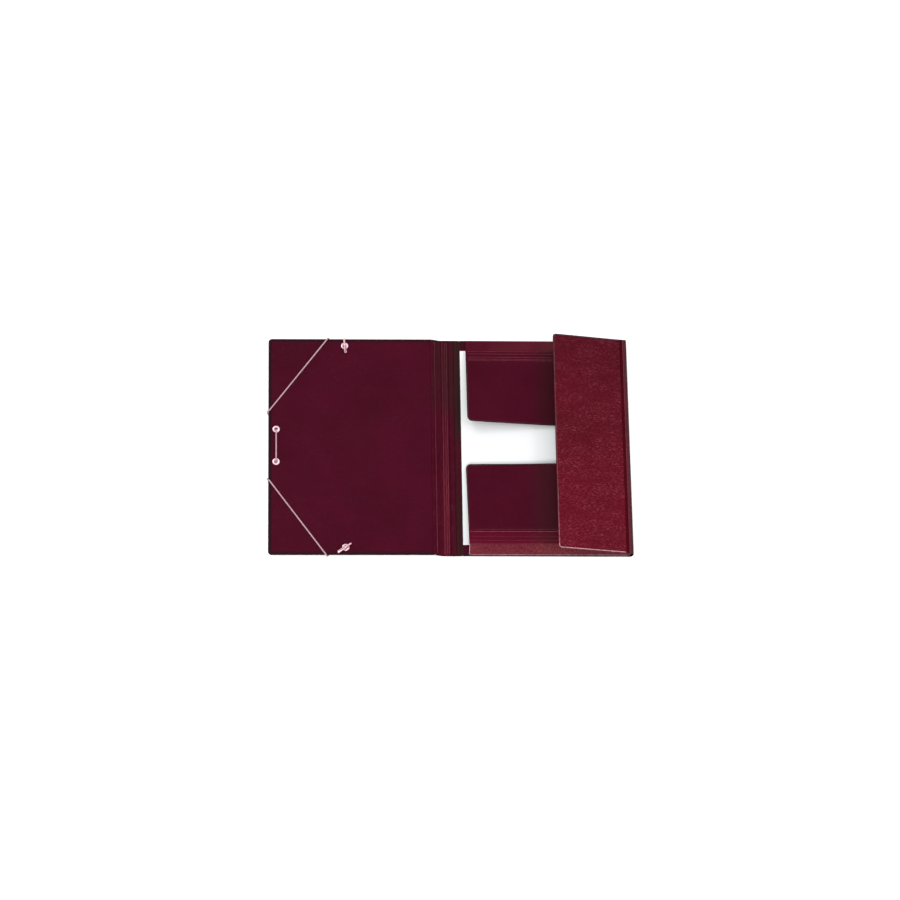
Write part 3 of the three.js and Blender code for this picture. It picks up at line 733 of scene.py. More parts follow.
def cord_material(colour):
    """Braided elastic: threads cross along and around the cord, from its own attributes."""
    material, nodes, shader = new_material("braided_elastic")
    along = nodes.add("ShaderNodeAttribute", attribute_name="along").outputs["Fac"]
    around = nodes.add("ShaderNodeAttribute", attribute_name="around").outputs["Fac"]
    turn = nodes.product(around, 2.0 * math.pi * BRAID_THREADS)
    step = nodes.product(along, 2.0 * math.pi / BRAID_LENGTH)
    rising = nodes.math("SINE", nodes.math("ADD", step, turn))
    falling = nodes.math("SINE", nodes.math("SUBTRACT", step, turn))
    braid = nodes.math("MAXIMUM", rising, falling)
    height = nodes.ramp(braid, -0.6, 1.0)
    # Painted shade in the dips between the braid's threads, lighter on their tops
    base = nodes.mix_colour(height, shade(colour, 0.6), shade(colour, 1.12))
    nodes.link(base, shader.inputs["Base Color"])
    shader.inputs["Roughness"].default_value = 0.75
    shader.inputs["Sheen Weight"].default_value = 0.04
    shader.inputs["Specular IOR Level"].default_value = 0.15
    nodes.bump(height, 0.7, 0.0002, shader)
    return material


def dress(node, material):
    """Give a carried-over solid its finish."""
    slots = NODES[node].data.materials
    slots.clear()
    slots.append(material)


def link_mesh(name, mesh, material):
    """Put a finished mesh in the scene as a piece at the origin."""
    piece = bpy.data.objects.new(name, mesh)
    if material is not None:
        mesh.materials.clear()
        mesh.materials.append(material)
    bpy.context.scene.collection.objects.link(piece)
    return piece


def material_named(name):
    """A material that an earlier step has made."""
    material = bpy.data.materials.get(name)
    if material is None:
        raise RuntimeError(f"the material {name} has not been made yet")
    return material


def cover_matrix():
    """The front cover's place on the table, in metres."""
    cosine = math.cos(COVER_TILT)
    sine = math.sin(COVER_TILT)
    return Matrix(
        (
            (cosine, 0.0, -sine, FRONT_HINGE_X * MM),
            (0.0, 1.0, 0.0, 0.0),
            (sine, 0.0, cosine, FRONT_HINGE_Z * MM),
            (0.0, 0.0, 0.0, 1.0),
        )
    )


def cover_point(x, y, z):
    """A point given in millimetres in the front cover's own frame, at its place on the table."""
    return cover_matrix() @ (Vector((x, y, z)) * MM)


class FOLDER_OT_stage(bpy.types.Operator):
    """Set the pale floor, the soft lights and the camera"""

    bl_idname = "folder.stage"
    bl_label = "Studio"

    def execute(self, context):
        studio = context.scene.folder_studio
        world = bpy.data.worlds.new("even_white_surround")
        context.scene.world = world
        world.use_nodes = True
        background = world.node_tree.nodes["Background"]
        background.inputs["Color"].default_value = (1.0, 1.0, 1.0, 1.0)
        background.inputs["Strength"].default_value = studio.sky_share
        nodes = Nodes(world.node_tree)
        camera_ray, mirrored = nodes.seen_rays()
        generated = nodes.add("ShaderNodeTexCoord").outputs["Generated"]
        seen = nodes.ramp(nodes.split(generated)[2], 0.15, 0.7, 0.3, 1.0)
        plain = nodes.math("SUBTRACT", 1.0, nodes.math("MAXIMUM", mirrored, camera_ray))
        strength = nodes.product(plain, studio.sky_share)
        strength = nodes.math("ADD", strength, nodes.product(mirrored, seen))
        strength = nodes.math("ADD", strength, camera_ray)
        nodes.link(strength, background.inputs["Strength"])
        self.lay_floor()
        for side, direction, distance, size in LAMPS:
            share = getattr(studio, side + "_share")
            self.add_lamp(context, side + "_light", direction, distance, size, share)
        self.place_camera(context)
        context.scene.view_settings.view_transform = "Standard"
        return {"FINISHED"}

    def lay_floor(self):
        """A wide pale floor just under the folder; its back is clear, to show the underside."""
        mesh = bpy.data.meshes.new("studio_floor")
        shape = bmesh.new()
        bmesh.ops.create_grid(shape, x_segments=2, y_segments=2, size=FLOOR_HALF_WIDTH)
        shape.to_mesh(mesh)
        shape.free()
        material, nodes, shader = new_material("pale_floor")
        shader.inputs["Base Color"].default_value = (0.97, 0.97, 0.97, 1.0)
        shader.inputs["Roughness"].default_value = 0.9
        shader.inputs["Specular IOR Level"].default_value = 0.0
        shader.inputs["Emission Color"].default_value = (1.0, 1.0, 1.0, 1.0)
        nodes.link(self.floor_glow(nodes), shader.inputs["Emission Strength"])
        clear = nodes.add("ShaderNodeBsdfTransparent")
        either = nodes.add("ShaderNodeMixShader")
        nodes.link(nodes.add("ShaderNodeNewGeometry").outputs["Backfacing"], either.inputs["Fac"])
        nodes.link(shader.outputs["BSDF"], either.inputs[1])
        nodes.link(clear.outputs["BSDF"], either.inputs[2])
        output = material.node_tree.nodes["Material Output"]
        nodes.link(either.outputs["Shader"], output.inputs["Surface"])
        floor = link_mesh("studio_floor", mesh, material)
        floor.location.z = -FLOOR_GAP

    def floor_glow(self, nodes):
        """The glow that shows the floor white; it fades under what lies there and lights nothing."""
        open_sky = nodes.add("ShaderNodeAmbientOcclusion", samples=8)
        open_sky.inputs["Distance"].default_value = GLOW_REACH
        glow = nodes.ramp(open_sky.outputs["AO"], 0.05, 0.45, 0.0, FLOOR_GLOW)
        camera_ray, mirrored = nodes.seen_rays()
        return nodes.product(glow, nodes.math("MAXIMUM", mirrored, camera_ray))

    def add_lamp(self, context, name, towards, distance, size, share):
        """A round lamp that gives its share of full light on level film."""
        direction = Vector(towards).normalized()
        data = bpy.data.lights.new(name, "AREA")
        data.shape = "DISK"
        data.size = size
        data.energy = share * math.pi**2 * distance**2 / direction.z
        lamp = bpy.data.objects.new(name, data)
        lamp.location = direction * distance
        lamp.rotation_euler = (-direction).to_track_quat("-Z", "Y").to_euler()
        context.scene.collection.objects.link(lamp)

    def place_camera(self, context):
        """The camera at the place, and with the turn and lens, that the photograph was taken with."""
        sine = math.sin(CAMERA_TILT)
        forward = Vector(
            (sine * math.sin(CAMERA_TURN), sine * math.cos(CAMERA_TURN), -math.cos(CAMERA_TILT))
        )
        level = forward.cross(Vector((0.0, 1.0, 0.0))).normalized()
        upright = level.cross(forward)
        right = math.cos(CAMERA_ROLL) * level + math.sin(CAMERA_ROLL) * upright
        up = math.cos(CAMERA_ROLL) * upright - math.sin(CAMERA_ROLL) * level
        data = bpy.data.cameras.new("studio_camera")
        data.sensor_width = SENSOR_WIDTH
        data.lens = CAMERA_FOCAL_PIXELS / PICTURE_PIXELS * SENSOR_WIDTH
        camera = bpy.data.objects.new("studio_camera", data)
        turn = Matrix((right, up, -forward)).transposed().to_4x4()
        camera.matrix_world = Matrix.Translation(CAMERA_PLACE) @ turn
        context.scene.collection.objects.link(camera)
        context.scene.camera = camera


class FOLDER_OT_cover_film(bpy.types.Operator):
    """Finish the covers, the spine and the flaps with their films"""

    bl_idname = "folder.cover_film"
    bl_label = "Film on Covers and Flaps"

    def execute(self, context):
        sizes = context.scene.folder_sizes
        colours = context.scene.folder_colours
        outside = (tuple(colours.outer_film), LOOKS["outside"])
        inner_colour = tuple(colours.inner_film)
        inner = film_material("inner_film", inner_colour, sizes, LOOKS["inside"], underside=outside)
        inside = (inner_colour, LOOKS["flap_inside"])
        outer_colour = tuple(colours.outer_film)
        outer = film_material("outer_film", outer_colour, sizes, LOOKS["side_flap"], underside=inside)
        spine_colour = tuple(colours.spine_film)
        spine = film_material("spine_film", spine_colour, sizes, LOOKS["spine"], underside=outside)
        # The colour of the painted light on the bottom gusset and of the top gusset's paler patches
        rubbed = tuple(colours.lit_and_paler_film)
        flap = film_material("flap_film", tuple(colours.flap_film), sizes, LOOKS["flap"], rubbed)
        # Painted shade: the side gusset's film is the outer film darkened
        shaded_gusset_colour = shade(colours.outer_film, 0.72, 0.012)
        gusset = film_material("gusset_film", shaded_gusset_colour, sizes, LOOKS["gusset"])
        # Painted shade: the outer film darkened for the fold at the side flap's hinge
        film_material("fold_film", shade(colours.outer_film, 0.55), sizes, LOOKS["inside"])
        weld = tuple(colours.weld)
        # Painted highlights on the ridges beside the creases and folds, brighter on the bottom crease
        polished_material("polished_film", weld, 0.3)
        polished_material("spine_ridge_film", weld, 0.3, SPINE_RIDGE_HIGHLIGHT_ROWS)
        polished_material("bright_ridge_film", shade(weld, 1.35), 0.3)
        # Painted shade on the top and bottom flaps' edge beads
        polished_material("dark_weld_film", WELD_SHADE, 0.3)
        # Painted highlights on the side flap's edge bead and the gusset's cut edge; the foot weld takes
        # the same colour, dimmed
        polished_material("side_weld_film", WELD_HIGHLIGHT, 0.4, SIDE_WELD_HIGHLIGHT_ROWS)
        polished_material("cut_edge_film", WELD_HIGHLIGHT, 0.3)
        polished_material("foot_weld_film", shade(WELD_HIGHLIGHT, 0.45), 0.3)
        for node in ("front_cover", "back_cover"):
            dress(node, inner)
        dress("spine", spine)
        for node in ("top_flap", "bottom_flap"):
            dress(node, flap)
        dress("side_flap", outer)
        dress("side_gusset", gusset)
        return {"FINISHED"}


class FOLDER_OT_paper(bpy.types.Operator):
    """Finish the paper that lies in the folder"""

    bl_idname = "folder.paper"
    bl_label = "Paper"

    def execute(self, context):
        colours = context.scene.folder_colours
        dress("paper_sheets", paper_material(tuple(colours.paper)))
        return {"FINISHED"}


def film_strip(name, line, thickness, end_inset, material):
    """A thin strip of film along the whole hinge; line is its outer edge as (x, z) points in mm."""
    dense = []
    for (x0, z0), (x1, z1) in zip(line, line[1:]):
        for i in range(4):
            dense.append((x0 + (x1 - x0) * i / 4, z0 + (z1 - z0) * i / 4))
    dense.append(line[-1])
    upper = []
    for i, (x, z) in enumerate(dense):
        before = dense[max(i - 1, 0)]
        after = dense[min(i + 1, len(dense) - 1)]
        run = Vector((after[0] - before[0], after[1] - before[1])).normalized()
        upper.append((x - run.y * thickness, z + run.x * thickness))
    section = dense + upper[::-1]
    half = (FOLDER_HEIGHT / 2 - end_inset) * MM
    shape = bmesh.new()
    rows = []
    for i in range(13):
        y = -half + 2 * half * i / 12
        rows.append([shape.verts.new((x * MM, y, z * MM)) for x, z in section])
    count = len(section)
    for first, second in zip(rows, rows[1:]):
        for i in range(count):
            j = (i + 1) % count
            shape.faces.new((first[i], first[j], second[j], second[i]))
    for row in (rows[0], rows[-1]):
        for i in range(len(dense) - 1):
            shape.faces.new((row[i], row[i + 1], row[count - 2 - i], row[count - 1 - i]))
    bmesh.ops.recalc_face_normals(shape, faces=shape.faces)
    mesh = bpy.data.meshes.new(name)
    shape.to_mesh(mesh)
    shape.free()
    return link_mesh(name, mesh, material)


class FOLDER_OT_hinge_film(bpy.types.Operator):
    """Lay the film across each hinge"""

    bl_idname = "folder.hinge_film"
    bl_label = "Hinge Film"

    def execute(self, context):
        thickness = context.scene.folder_sizes.hinge_film / MM
        spine_film = material_named("spine_film")
        fold_film = material_named("fold_film")
        reach = RIM_WIDTH - 0.3
        back = BACK_HINGE_X
        front = FRONT_HINGE_X
        strips = (
            (
                "back_hinge_film_inside",
                [(back - reach, RIM_TOP), (back, RIM_TOP), (back + reach, RIM_TOP)],
                spine_film,
                ("spine", "back_cover"),
            ),
            (
                "back_hinge_film_outside",
                [(back + reach, RIM_BASE), (back, RIM_BASE), (back - reach, RIM_BASE)],
                spine_film,
                ("back_cover", "spine"),
            ),
            (
                "front_hinge_film_inside",
                [
                    (front - reach, FRONT_HINGE_Z - math.sin(COVER_TILT) * reach),
                    (front, FRONT_HINGE_Z),
                    (front + reach, self.spine_top(SPINE_WIDTH - reach)),
                ],
                spine_film,
                ("front_cover", "spine"),
            ),
            (
                "side_flap_hinge_film",
                [
                    (SIDE_HINGE_X - 2.2, SIDE_FILM_TOP + 0.005 + 2.2 * FLAP_RISE),
                    (SIDE_HINGE_X, SIDE_FILM_TOP),
                    (SIDE_HINGE_X + 2.0, SIDE_FILM_TOP - 2.0 * GUSSET_FALL),
                ],
                fold_film,
                ("side_flap", "side_gusset"),
            ),
        )
        for name, line, material, bodies in strips:
            piece = film_strip(name, line, thickness, HINGE_END_INSET, material)
            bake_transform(piece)
        return {"FINISHED"}

    def spine_top(self, distance):
        """Height of the spine's rising wing at a distance from the back hinge."""
        share = (distance - WING_START) / (WING_END - WING_START)
        return WING_LOW_TOP + (FRONT_HINGE_Z - WING_LOW_TOP) * share**1.25


# The eyelets and the cord's route, in millimetres in the front cover's own frame
EYELET_HOLE = 2.4
EYELET_CROWN = 0.5
CORD_RADIUS = 1.0
CORD_BEND = 1.8
COVER_FACE = 0.7
COVER_UNDERSIDE = -1.7
LIP_RISE = 0.3
LIP_INSIDE = COVER_FACE + LIP_RISE
LIP_OUTSIDE = COVER_UNDERSIDE - LIP_RISE
CORD_INSIDE = LIP_INSIDE + CORD_RADIUS
CORD_OUTSIDE = LIP_OUTSIDE - CORD_BEND
BEND_OFFSET = EYELET_HOLE + EYELET_CROWN - CORD_BEND
BAR_EYELETS = {1: (-125.2, 154.0), -1: (-125.2, -154.0)}
EDGE_EYELETS = {1: (-222.9, 24.8), -1: (-222.9, -24.8)}
CROSSING_X = {1: 149.5, -1: 153.0}
CROSSING_Y = 51.6
WRAP_DEPTH = 1.4

# The cord's bars: their crimped end, and for each its side, its turn in degrees and its slide
BAR_CRIMP_RADIUS = 2.35
BAR_FLATTENING = 0.68
BAR_NARROWING = 0.84
BAR_AXIS = LIP_INSIDE + EYELET_CROWN + 0.3 + BAR_CRIMP_RADIUS * BAR_FLATTENING
BARS = (("top", 1, 95.5, 0.0), ("bottom", -1, 34.8, -1.8))

# The dark strip in a bar's seam, painted shade for its gap: places on its length and the strip's half
# width there
SEAM_SHADE_TONE = srgb(70, 40, 48)
SEAM_WIDTHS = ((-12.0, 0.12), (-11.6, 0.5), (-6.0, 0.5), (-1.4, 0.5), (-1.0, 0.12))
SEAM_DEPTH = 0.3
SEAM_RISE = 0.03


def eyelet_bend(eyelet, towards, inside):
    """The cord's quarter turn over an eyelet's lip, from the hole towards a point."""
    heading = Vector((towards[0] - eyelet[0], towards[1] - eyelet[1])).normalized()
    lip = LIP_INSIDE if inside else LIP_OUTSIDE
    sign = 1.0 if inside else -1.0
    points = []
    for degrees in range(0, 91, 15):
        angle = math.radians(degrees)
        out = BEND_OFFSET + CORD_BEND * (1.0 - math.cos(angle))
        z = lip + sign * CORD_BEND * math.sin(angle)
        points.append(Vector((eyelet[0] + heading.x * out, eyelet[1] + heading.y * out, z)))
    return points


def edge_wrap(crossing, normal, source, target):
    """The cord's half turn round the cover's edge at a crossing, between two points."""
    reach = WRAP_DEPTH + 0.3 + CORD_RADIUS + 0.2

    def along(point):
        depth = (crossing[0] - point[0]) * normal[0] + (crossing[1] - point[1]) * normal[1]
        share = WRAP_DEPTH / depth
        return (
            crossing[0] + (point[0] - crossing[0]) * share,
            crossing[1] + (point[1] - crossing[1]) * share,
        )

    start = along(source)
    end = along(target)
    middle = (CORD_INSIDE + CORD_OUTSIDE) / 2
    rise = (CORD_INSIDE - CORD_OUTSIDE) / 2
    points = []
    for degrees in range(-90, 91, 15):
        angle = math.radians(degrees)
        share = (degrees + 90) / 180
        x = start[0] + (end[0] - start[0]) * share + normal[0] * reach * math.cos(angle)
        y = start[1] + (end[1] - start[1]) * share + normal[1] * reach * math.cos(angle)
        points.append(Vector((x, y, middle + rise * math.sin(angle))))
    return points


def between(first, last, count):
    """Points evenly spaced on the straight run from one point to another, without its ends."""
    return [first.lerp(last, i / (count + 1)) for i in range(1, count + 1)]


def half_route(side):
    """The cord from its bar to its edge eyelet: side is 1 for the top half, -1 for the bottom."""
    bar = BAR_EYELETS[side]
    edge = EDGE_EYELETS[side]
    end_edge = (-CROSSING_X[side], side * FOLDER_HEIGHT / 2)
    fore_edge = (-FRONT_WIDTH, side * CROSSING_Y)
    bar_bend = eyelet_bend(bar, end_edge, False)
    over_end = edge_wrap(end_edge, (0.0, side), bar, fore_edge)
    over_fore = edge_wrap(fore_edge, (-1.0, 0.0), edge, end_edge)[::-1]
    bend_out = eyelet_bend(edge, fore_edge, False)[::-1]
    bend_in = eyelet_bend(edge, (edge[0], 0.0), True)
    return [
        Vector((bar[0], bar[1], BAR_AXIS)),
        *bar_bend,
        *between(bar_bend[-1], over_end[0], 4),
        *over_end,
        *between(over_end[-1], over_fore[0], 24),
        *over_fore,
        *between(over_fore[-1], bend_out[0], 4),
        *bend_out,
        *bend_in,
    ]


def cord_route():
    """The whole cord from the top bar to the bottom bar, in metres."""
    first = half_route(1)
    second = half_route(-1)[::-1]
    points = [*first, *between(first[-1], second[0], 10), *second]
    return [cover_point(*point) for point in points]


def sweep_tree(name, material):
    """Geometry nodes that give lines a round body, with attributes along and around them."""
    tree = bpy.data.node_groups.new(name, "GeometryNodeTree")
    faces = tree.interface
    faces.new_socket("Route", in_out="INPUT", socket_type="NodeSocketGeometry")
    faces.new_socket("Radius", in_out="INPUT", socket_type="NodeSocketFloat")
    faces.new_socket("Sides", in_out="INPUT", socket_type="NodeSocketInt")
    faces.new_socket("Body", in_out="OUTPUT", socket_type="NodeSocketGeometry")
    nodes = Nodes(tree)
    given = nodes.add("NodeGroupInput")
    result = nodes.add("NodeGroupOutput")
    spline = nodes.add("GeometryNodeSplineParameter")
    along = nodes.add("GeometryNodeStoreNamedAttribute", data_type="FLOAT", domain="POINT")
    along.inputs["Name"].default_value = "along"
    nodes.link(given.outputs["Route"], along.inputs["Geometry"])
    nodes.link(spline.outputs["Length"], along.inputs["Value"])
    ring = nodes.add("GeometryNodeCurvePrimitiveCircle", mode="RADIUS")
    nodes.link(given.outputs["Sides"], ring.inputs["Resolution"])
    nodes.link(given.outputs["Radius"], ring.inputs["Radius"])
    turn = nodes.add("GeometryNodeSplineParameter")
    around = nodes.add("GeometryNodeStoreNamedAttribute", data_type="FLOAT", domain="POINT")
    around.inputs["Name"].default_value = "around"
    nodes.link(ring.outputs["Curve"], around.inputs["Geometry"])
    nodes.link(turn.outputs["Factor"], around.inputs["Value"])
    body = nodes.add("GeometryNodeCurveToMesh")
    body.inputs["Fill Caps"].default_value = True
    nodes.link(along.outputs["Geometry"], body.inputs["Curve"])
    nodes.link(around.outputs["Geometry"], body.inputs["Profile Curve"])
    smooth = nodes.add("GeometryNodeSetShadeSmooth")
    nodes.link(body.outputs["Mesh"], smooth.inputs["Geometry"])
    real = nodes.add("GeometryNodeRealizeInstances")
    nodes.link(smooth.outputs["Geometry"], real.inputs["Geometry"])
    finish = nodes.add("GeometryNodeSetMaterial")
    finish.inputs["Material"].default_value = material
    nodes.link(real.outputs["Geometry"], finish.inputs["Geometry"])
    nodes.link(finish.outputs["Geometry"], result.inputs["Body"])
    return tree


def set_inputs(modifier, **values):
    """Set a geometry nodes modifier's inputs by their sockets' identifiers."""
    for item in modifier.node_group.interface.items_tree:
        key = getattr(item, "name", "").replace(" ", "_").lower()
        if getattr(item, "in_out", "") == "INPUT" and key in values:
            modifier[item.identifier] = values[key]


def plain_mesh(source, name):
    """The evaluated shape of an object as a plain mesh object; the source is removed."""
    bpy.context.view_layer.update()
    graph = bpy.context.evaluated_depsgraph_get()
    mesh = bpy.data.meshes.new_from_object(source.evaluated_get(graph))
    mesh.name = name
    bpy.data.objects.remove(source)
    return link_mesh(name, mesh, None)


def swept_piece(name, lines, radius, sides, material):
    """Round bodies along lines; each line is its points in metres and whether it is a loop."""
    curve = bpy.data.curves.new(name, "CURVE")
    curve.dimensions = "3D"
    for points, loop in lines:
        spline = curve.splines.new("POLY")
        spline.points.add(len(points) - 1)
        for place, point in zip(spline.points, points):
            place.co = (*point, 1.0)
        spline.use_cyclic_u = loop
    source = bpy.data.objects.new(name + "_lines", curve)
    bpy.context.scene.collection.objects.link(source)
    modifier = source.modifiers.new("body_along_lines", "NODES")
    modifier.node_group = sweep_tree(name + "_sweep", material)
    set_inputs(modifier, radius=radius, sides=sides)
    return plain_mesh(source, name)


class FOLDER_OT_elastic_cord(bpy.types.Operator):
    """Run the braided elastic cord along its route through the eyelets"""

    bl_idname = "folder.elastic_cord"
    bl_label = "Elastic Cord"

    def execute(self, context):
        sizes = context.scene.folder_sizes
        colours = context.scene.folder_colours
        material = cord_material(tuple(colours.cord))
        lines = [(cord_route(), False)]
        cord = swept_piece("braided_cord", lines, sizes.cord_diameter / 2, sizes.cord_sides, material)
        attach(cord, "front_cover")
        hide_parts("elastic_cord")
        return {"FINISHED"}


def surface_of(node):
    """A search tree over a carried-over solid, to lay lines on it."""
    mesh = NODES[node].data
    points = [vertex.co.copy() for vertex in mesh.vertices]
    return BVHTree.FromPolygons(points, [tuple(face.vertices) for face in mesh.polygons])


def laid(surface, x, y, sink):
    """The point of a surface above (x, y) in millimetres, raised or sunk a little; in metres."""
    hit = surface.ray_cast(Vector((x * MM, y * MM, 0.2)), Vector((0.0, 0.0, -1.0)))
    if hit[0] is None:
        return None
    return Vector((x * MM, y * MM, hit[0].z + sink * MM))


def inset_outline(node, inset):
    """A solid's outline seen from above, moved inwards, as points 2 mm apart."""
    flat = [Vector((vertex.co.x / MM, vertex.co.y / MM)) for vertex in NODES[node].data.vertices]
    hull = [flat[i] for i in convex_hull_2d(flat)]
    area = sum(a.x * b.y - b.x * a.y for a, b in zip(hull, hull[1:] + hull[:1]))
    if area < 0:
        hull.reverse()
    spread = []
    for point in hull:
        if not spread or (point - spread[-1]).length > 0.2:
            spread.append(point)
    moved = []
    count = len(spread)
    for i, point in enumerate(spread):
        before = (point - spread[i - 1]).normalized()
        after = (spread[(i + 1) % count] - point).normalized()
        inward = Vector((-before.y - after.y, before.x + after.x))
        moved.append(point + inward * (inset / (1.0 + before.dot(after))))
    outline = []
    for first, second in zip(moved, moved[1:] + moved[:1]):
        steps = max(int((second - first).length / 2.0), 1)
        outline.extend(first.lerp(second, i / steps) for i in range(steps))
    return outline


def weld_line(node, inset, sink, limit):
    """The line of a flap's edge weld, as far as limit, which is (axis, sign, distance), allows."""
    surface = surface_of(node)
    outline = inset_outline(node, inset)
    axis, sign, distance = limit
    inside = [p[axis] * sign < distance for p in outline]
    start = next(i for i in range(len(outline)) if inside[i] and not inside[i - 1])
    kept = []
    for i in range(len(outline)):
        j = (start + i) % len(outline)
        if not inside[j]:
            break
        kept.append(laid(surface, outline[j].x, outline[j].y, sink))
    return [p for p in kept if p is not None], False


def laid_line(node, start, end, steps, sink):
    """A straight line laid on a solid, between two places given as (x, y) in millimetres."""
    surface = surface_of(node)
    points = []
    for i in range(steps + 1):
        share = i / steps
        x = start[0] + (end[0] - start[0]) * share
        y = start[1] + (end[1] - start[1]) * share
        points.append(laid(surface, x, y, sink))
    return [point for point in points if point is not None], False


class FOLDER_OT_welds(bpy.types.Operator):
    """Lay the film's weld beads along the flaps' edges, and the fine ridges beside the creases"""

    bl_idname = "folder.welds"
    bl_label = "Welds and Creases"

    def execute(self, context):
        sizes = context.scene.folder_sizes
        self.edge_welds(sizes.weld_radius)
        self.crease_ridges(sizes.crease_ridge)
        self.gusset_lines(sizes.weld_radius, sizes.crease_ridge)
        self.spine_ridges(sizes.crease_ridge * 1.3)
        return {"FINISHED"}

    def add_lines(self, name, lines, radius, sides, material, body, slot="flap_film"):
        """Lay one piece of round lines that moves with a body."""
        piece = swept_piece(name, lines, radius, sides, material_named(material))
        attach(piece, body)

    def edge_welds(self, bead):
        """The weld beads round the three flaps' free edges."""
        flat = (bead * 2.0, -0.75)
        proud = (bead * 1.4, -0.1)
        top, bottom, outer = (1, 1.0, 132.0), (1, -1.0, 129.0), (0, 1.0, 109.0)
        for flap, limit, body, (radius, sink), material in (
            ("top_flap", top, "back_cover", flat, "dark_weld_film"),
            ("bottom_flap", bottom, "back_cover", flat, "dark_weld_film"),
            ("side_flap", outer, "side_flap", proud, "side_weld_film"),
        ):
            line = weld_line(flap, WELD_INSET, sink, limit)
            self.add_lines(flap + "_weld", [line], radius, 8, material, body)

    def crease_ridges(self, ridge):
        """The ridges beside the creases of the top and bottom flaps."""
        for name, flap, rows, radius, material in (
            ("top_flap_ridges", "top_flap", TOP_CREASE_ROWS, ridge, "polished_film"),
            ("bottom_flap_ridges", "bottom_flap", BOTTOM_CREASE_ROWS, ridge * 1.6, "bright_ridge_film"),
            ("bottom_flap_fine_ridges", "bottom_flap", BOTTOM_FINE_ROWS, ridge * 0.6, "polished_film"),
        ):
            ends = [((CREASE_X[0], y), (CREASE_X[1], y)) for y in rows]
            lines = [laid_line(flap, start, end, 40, LINE_SINK) for start, end in ends]
            self.add_lines(name, lines, radius, 6, material, "back_cover")

    def gusset_lines(self, bead, ridge):
        """The bottom gusset's cut edge and foot, and the side gusset's fold."""
        cut_x = BACK_HINGE_X + FLAP_SIDE_INSET + 0.5
        cut = laid_line("bottom_flap", (cut_x, -162.4), (cut_x, -150.4), 8, 0.0)
        # The cut edge's bead carries a painted highlight
        self.add_lines("bottom_gusset_cut_edge", [cut], bead, 8, "cut_edge_film", "back_cover")
        foot_ends = (cut_x + 1.0, FOOT_WELD_Y), (cut_x + 223.0, FOOT_WELD_Y)
        foot = laid_line("bottom_flap", *foot_ends, 60, 0.0)
        self.add_lines("bottom_gusset_foot_weld", [foot], bead * 1.1, 8, "foot_weld_film", "back_cover")
        reach = FOLDER_HEIGHT / 2 - 2.0
        fold_x = SIDE_HINGE_X + 2.4
        fold = laid_line("side_gusset", (fold_x, -reach), (fold_x, reach), 60, LINE_SINK)
        self.add_lines("side_fold_ridge", [fold], ridge * 1.2, 6, "polished_film", "side_gusset")

    def spine_ridges(self, radius):
        """The bright ridges along the spine."""
        half = FOLDER_HEIGHT / 2 - 3.4
        places = [BACK_HINGE_X - distance for distance in SPINE_RIDGES]
        lines = [laid_line("spine", (x, -half), (x, half), 60, LINE_SINK) for x in places]
        self.add_lines("spine_ridges", lines, radius, 6, "spine_ridge_film", "spine", "cover_film")


def smooth_copy(node, name):
    """A copy of a turned metal part with its points merged, ready to be shaded smooth."""
    shape = bmesh.new()
    shape.from_mesh(NODES[node].data)
    bmesh.ops.remove_doubles(shape, verts=shape.verts, dist=1e-6)
    mesh = bpy.data.meshes.new(name)
    shape.to_mesh(mesh)
    shape.free()
    return mesh


def round_off(mesh, degrees):
    """Shade a mesh smooth, apart from edges sharper than the angle."""
    for face in mesh.polygons:
        face.use_smooth = True
    mesh.set_sharp_from_angle(angle=math.radians(degrees))


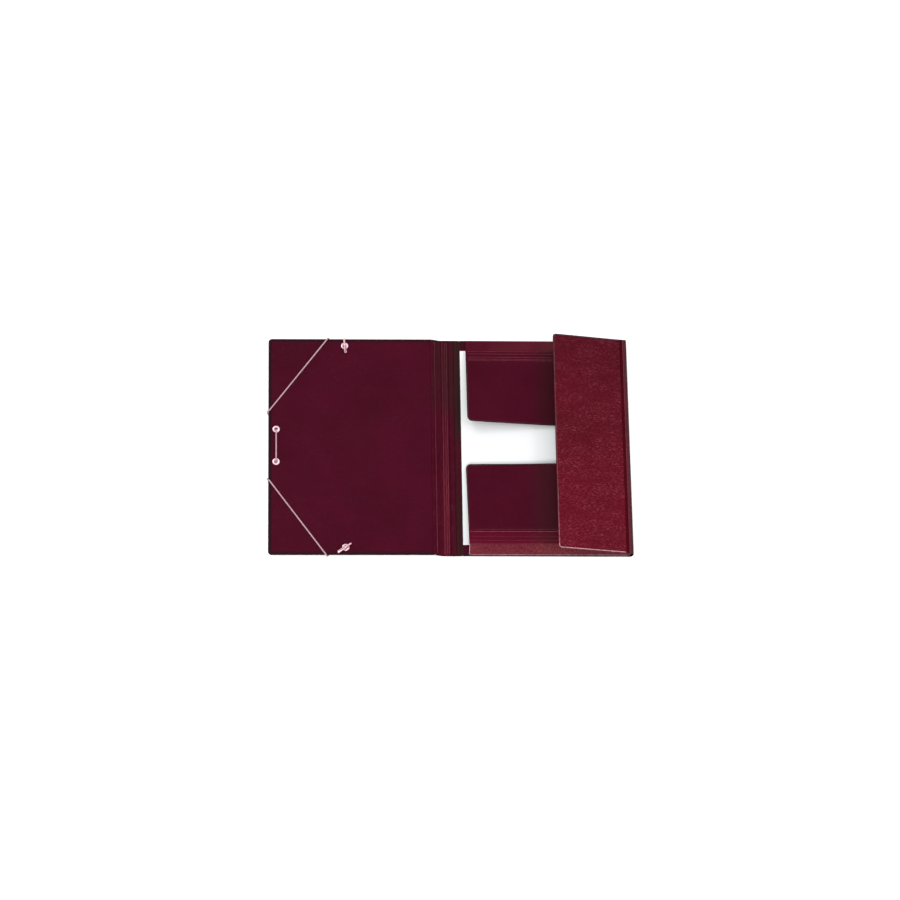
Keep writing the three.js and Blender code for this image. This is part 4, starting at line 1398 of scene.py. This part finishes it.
class FOLDER_OT_metal(bpy.types.Operator):
    """Finish the eyelets and the cord's two bars in plated metal"""

    bl_idname = "folder.metal"
    bl_label = "Eyelets and Bars"

    def execute(self, context):
        metal = tuple(context.scene.folder_colours.metal)
        eyelet = metal_material("eyelet_metal", metal, 0.28)
        bar = metal_material("bar_metal", metal, 0.36)
        # Painted shade for the gap in the bars' seams
        seam = polished_material("bar_seam", SEAM_SHADE_TONE, 0.1)
        for place in ("top", "edge_upper", "edge_lower", "bottom"):
            mesh = smooth_copy("eyelet_" + place, "plated_eyelet_" + place)
            round_off(mesh, 50)
            piece = link_mesh("plated_eyelet_" + place, mesh, eyelet)
            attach(piece, "front_cover")
            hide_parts("eyelet_" + place)
        for place, side, turn, slide in BARS:
            mesh = self.crimped_bar(place, side, turn, slide)
            piece = link_mesh("crimped_bar_" + place, mesh, None)
            mesh.materials.append(bar)
            mesh.materials.append(seam)
            round_off(mesh, 40)
            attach(piece, "front_cover")
            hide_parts("cord_bar_" + place)
        return {"FINISHED"}

    def crimped_bar(self, place, side, turn, slide):
        """A bar with its barrel narrowed and the painted shade of its seam added, slid along its
        length.
        """
        mesh = smooth_copy("cord_bar_" + place, "crimped_bar_" + place)
        centre = (*BAR_EYELETS[side], BAR_AXIS)
        home = cover_matrix() @ Matrix.Translation([v * MM for v in centre])
        home = home @ Matrix.Rotation(math.radians(turn), 4, "Z")
        mesh.transform(home.inverted())
        for vertex in mesh.vertices:
            if vertex.co.x < 0.0:
                vertex.co.y *= BAR_NARROWING
        self.add_seam(mesh)
        mesh.transform(Matrix.Translation((slide * MM, 0.0, 0.0)))
        mesh.transform(home)
        return mesh

    def add_seam(self, mesh):
        """Line the barrel's seam with a dark strip, painted shade for the gap where its two lips meet.
        """
        shape = bmesh.new()
        shape.from_mesh(mesh)
        top = BAR_CRIMP_RADIUS * BAR_FLATTENING
        low, high = top - SEAM_DEPTH, top + SEAM_RISE
        rows = []
        for x, half in SEAM_WIDTHS:
            corners = ((-half, low), (half, low), (half, high), (-half, high))
            rows.append([shape.verts.new((x * MM, y * MM, z * MM)) for y, z in corners])
        added = []
        for first, second in zip(rows, rows[1:]):
            for i in range(4):
                j = (i + 1) % 4
                added.append(shape.faces.new((first[i], first[j], second[j], second[i])))
        added.append(shape.faces.new(rows[0][::-1]))
        added.append(shape.faces.new(rows[-1]))
        bmesh.ops.recalc_face_normals(shape, faces=added)
        for face in added:
            face.material_index = 1
        shape.to_mesh(mesh)
        shape.free()


STEPS = (
    FOLDER_OT_stage,
    FOLDER_OT_cover_film,
    FOLDER_OT_paper,
    FOLDER_OT_hinge_film,
    FOLDER_OT_welds,
    FOLDER_OT_elastic_cord,
    FOLDER_OT_metal,
)


class FOLDER_PT_maker(bpy.types.Panel):
    """The folder's sizes, colours and steps"""

    bl_idname = "FOLDER_PT_maker"
    bl_label = "Document Folder"
    bl_space_type = "VIEW_3D"
    bl_region_type = "UI"
    bl_category = "Folder"

    def draw(self, context):
        for group in ("folder_sizes", "folder_colours", "folder_studio"):
            settings = getattr(context.scene, group)
            box = self.layout.box()
            for name in settings.__annotations__:
                box.prop(settings, name)
        for step in STEPS:
            self.layout.operator(step.bl_idname)


GROUPS = (FolderSizes, FolderColours, StudioSettings)


def register():
    """Add the folder's settings, steps and panel to Blender."""
    for item in (*GROUPS, *STEPS, FOLDER_PT_maker):
        bpy.utils.register_class(item)
    bpy.types.Scene.folder_sizes = bpy.props.PointerProperty(type=FolderSizes)
    bpy.types.Scene.folder_colours = bpy.props.PointerProperty(type=FolderColours)
    bpy.types.Scene.folder_studio = bpy.props.PointerProperty(type=StudioSettings)


def unregister():
    """Take the folder's settings, steps and panel out of Blender."""
    for name in ("folder_sizes", "folder_colours", "folder_studio"):
        delattr(bpy.types.Scene, name)
    for item in reversed((*GROUPS, *STEPS, FOLDER_PT_maker)):
        bpy.utils.unregister_class(item)


def main():
    """Finish the whole folder."""
    register()
    for step in STEPS:
        module, name = step.bl_idname.split(".")
        getattr(getattr(bpy.ops, module), name)()


if __name__ == "__main__":
    main()
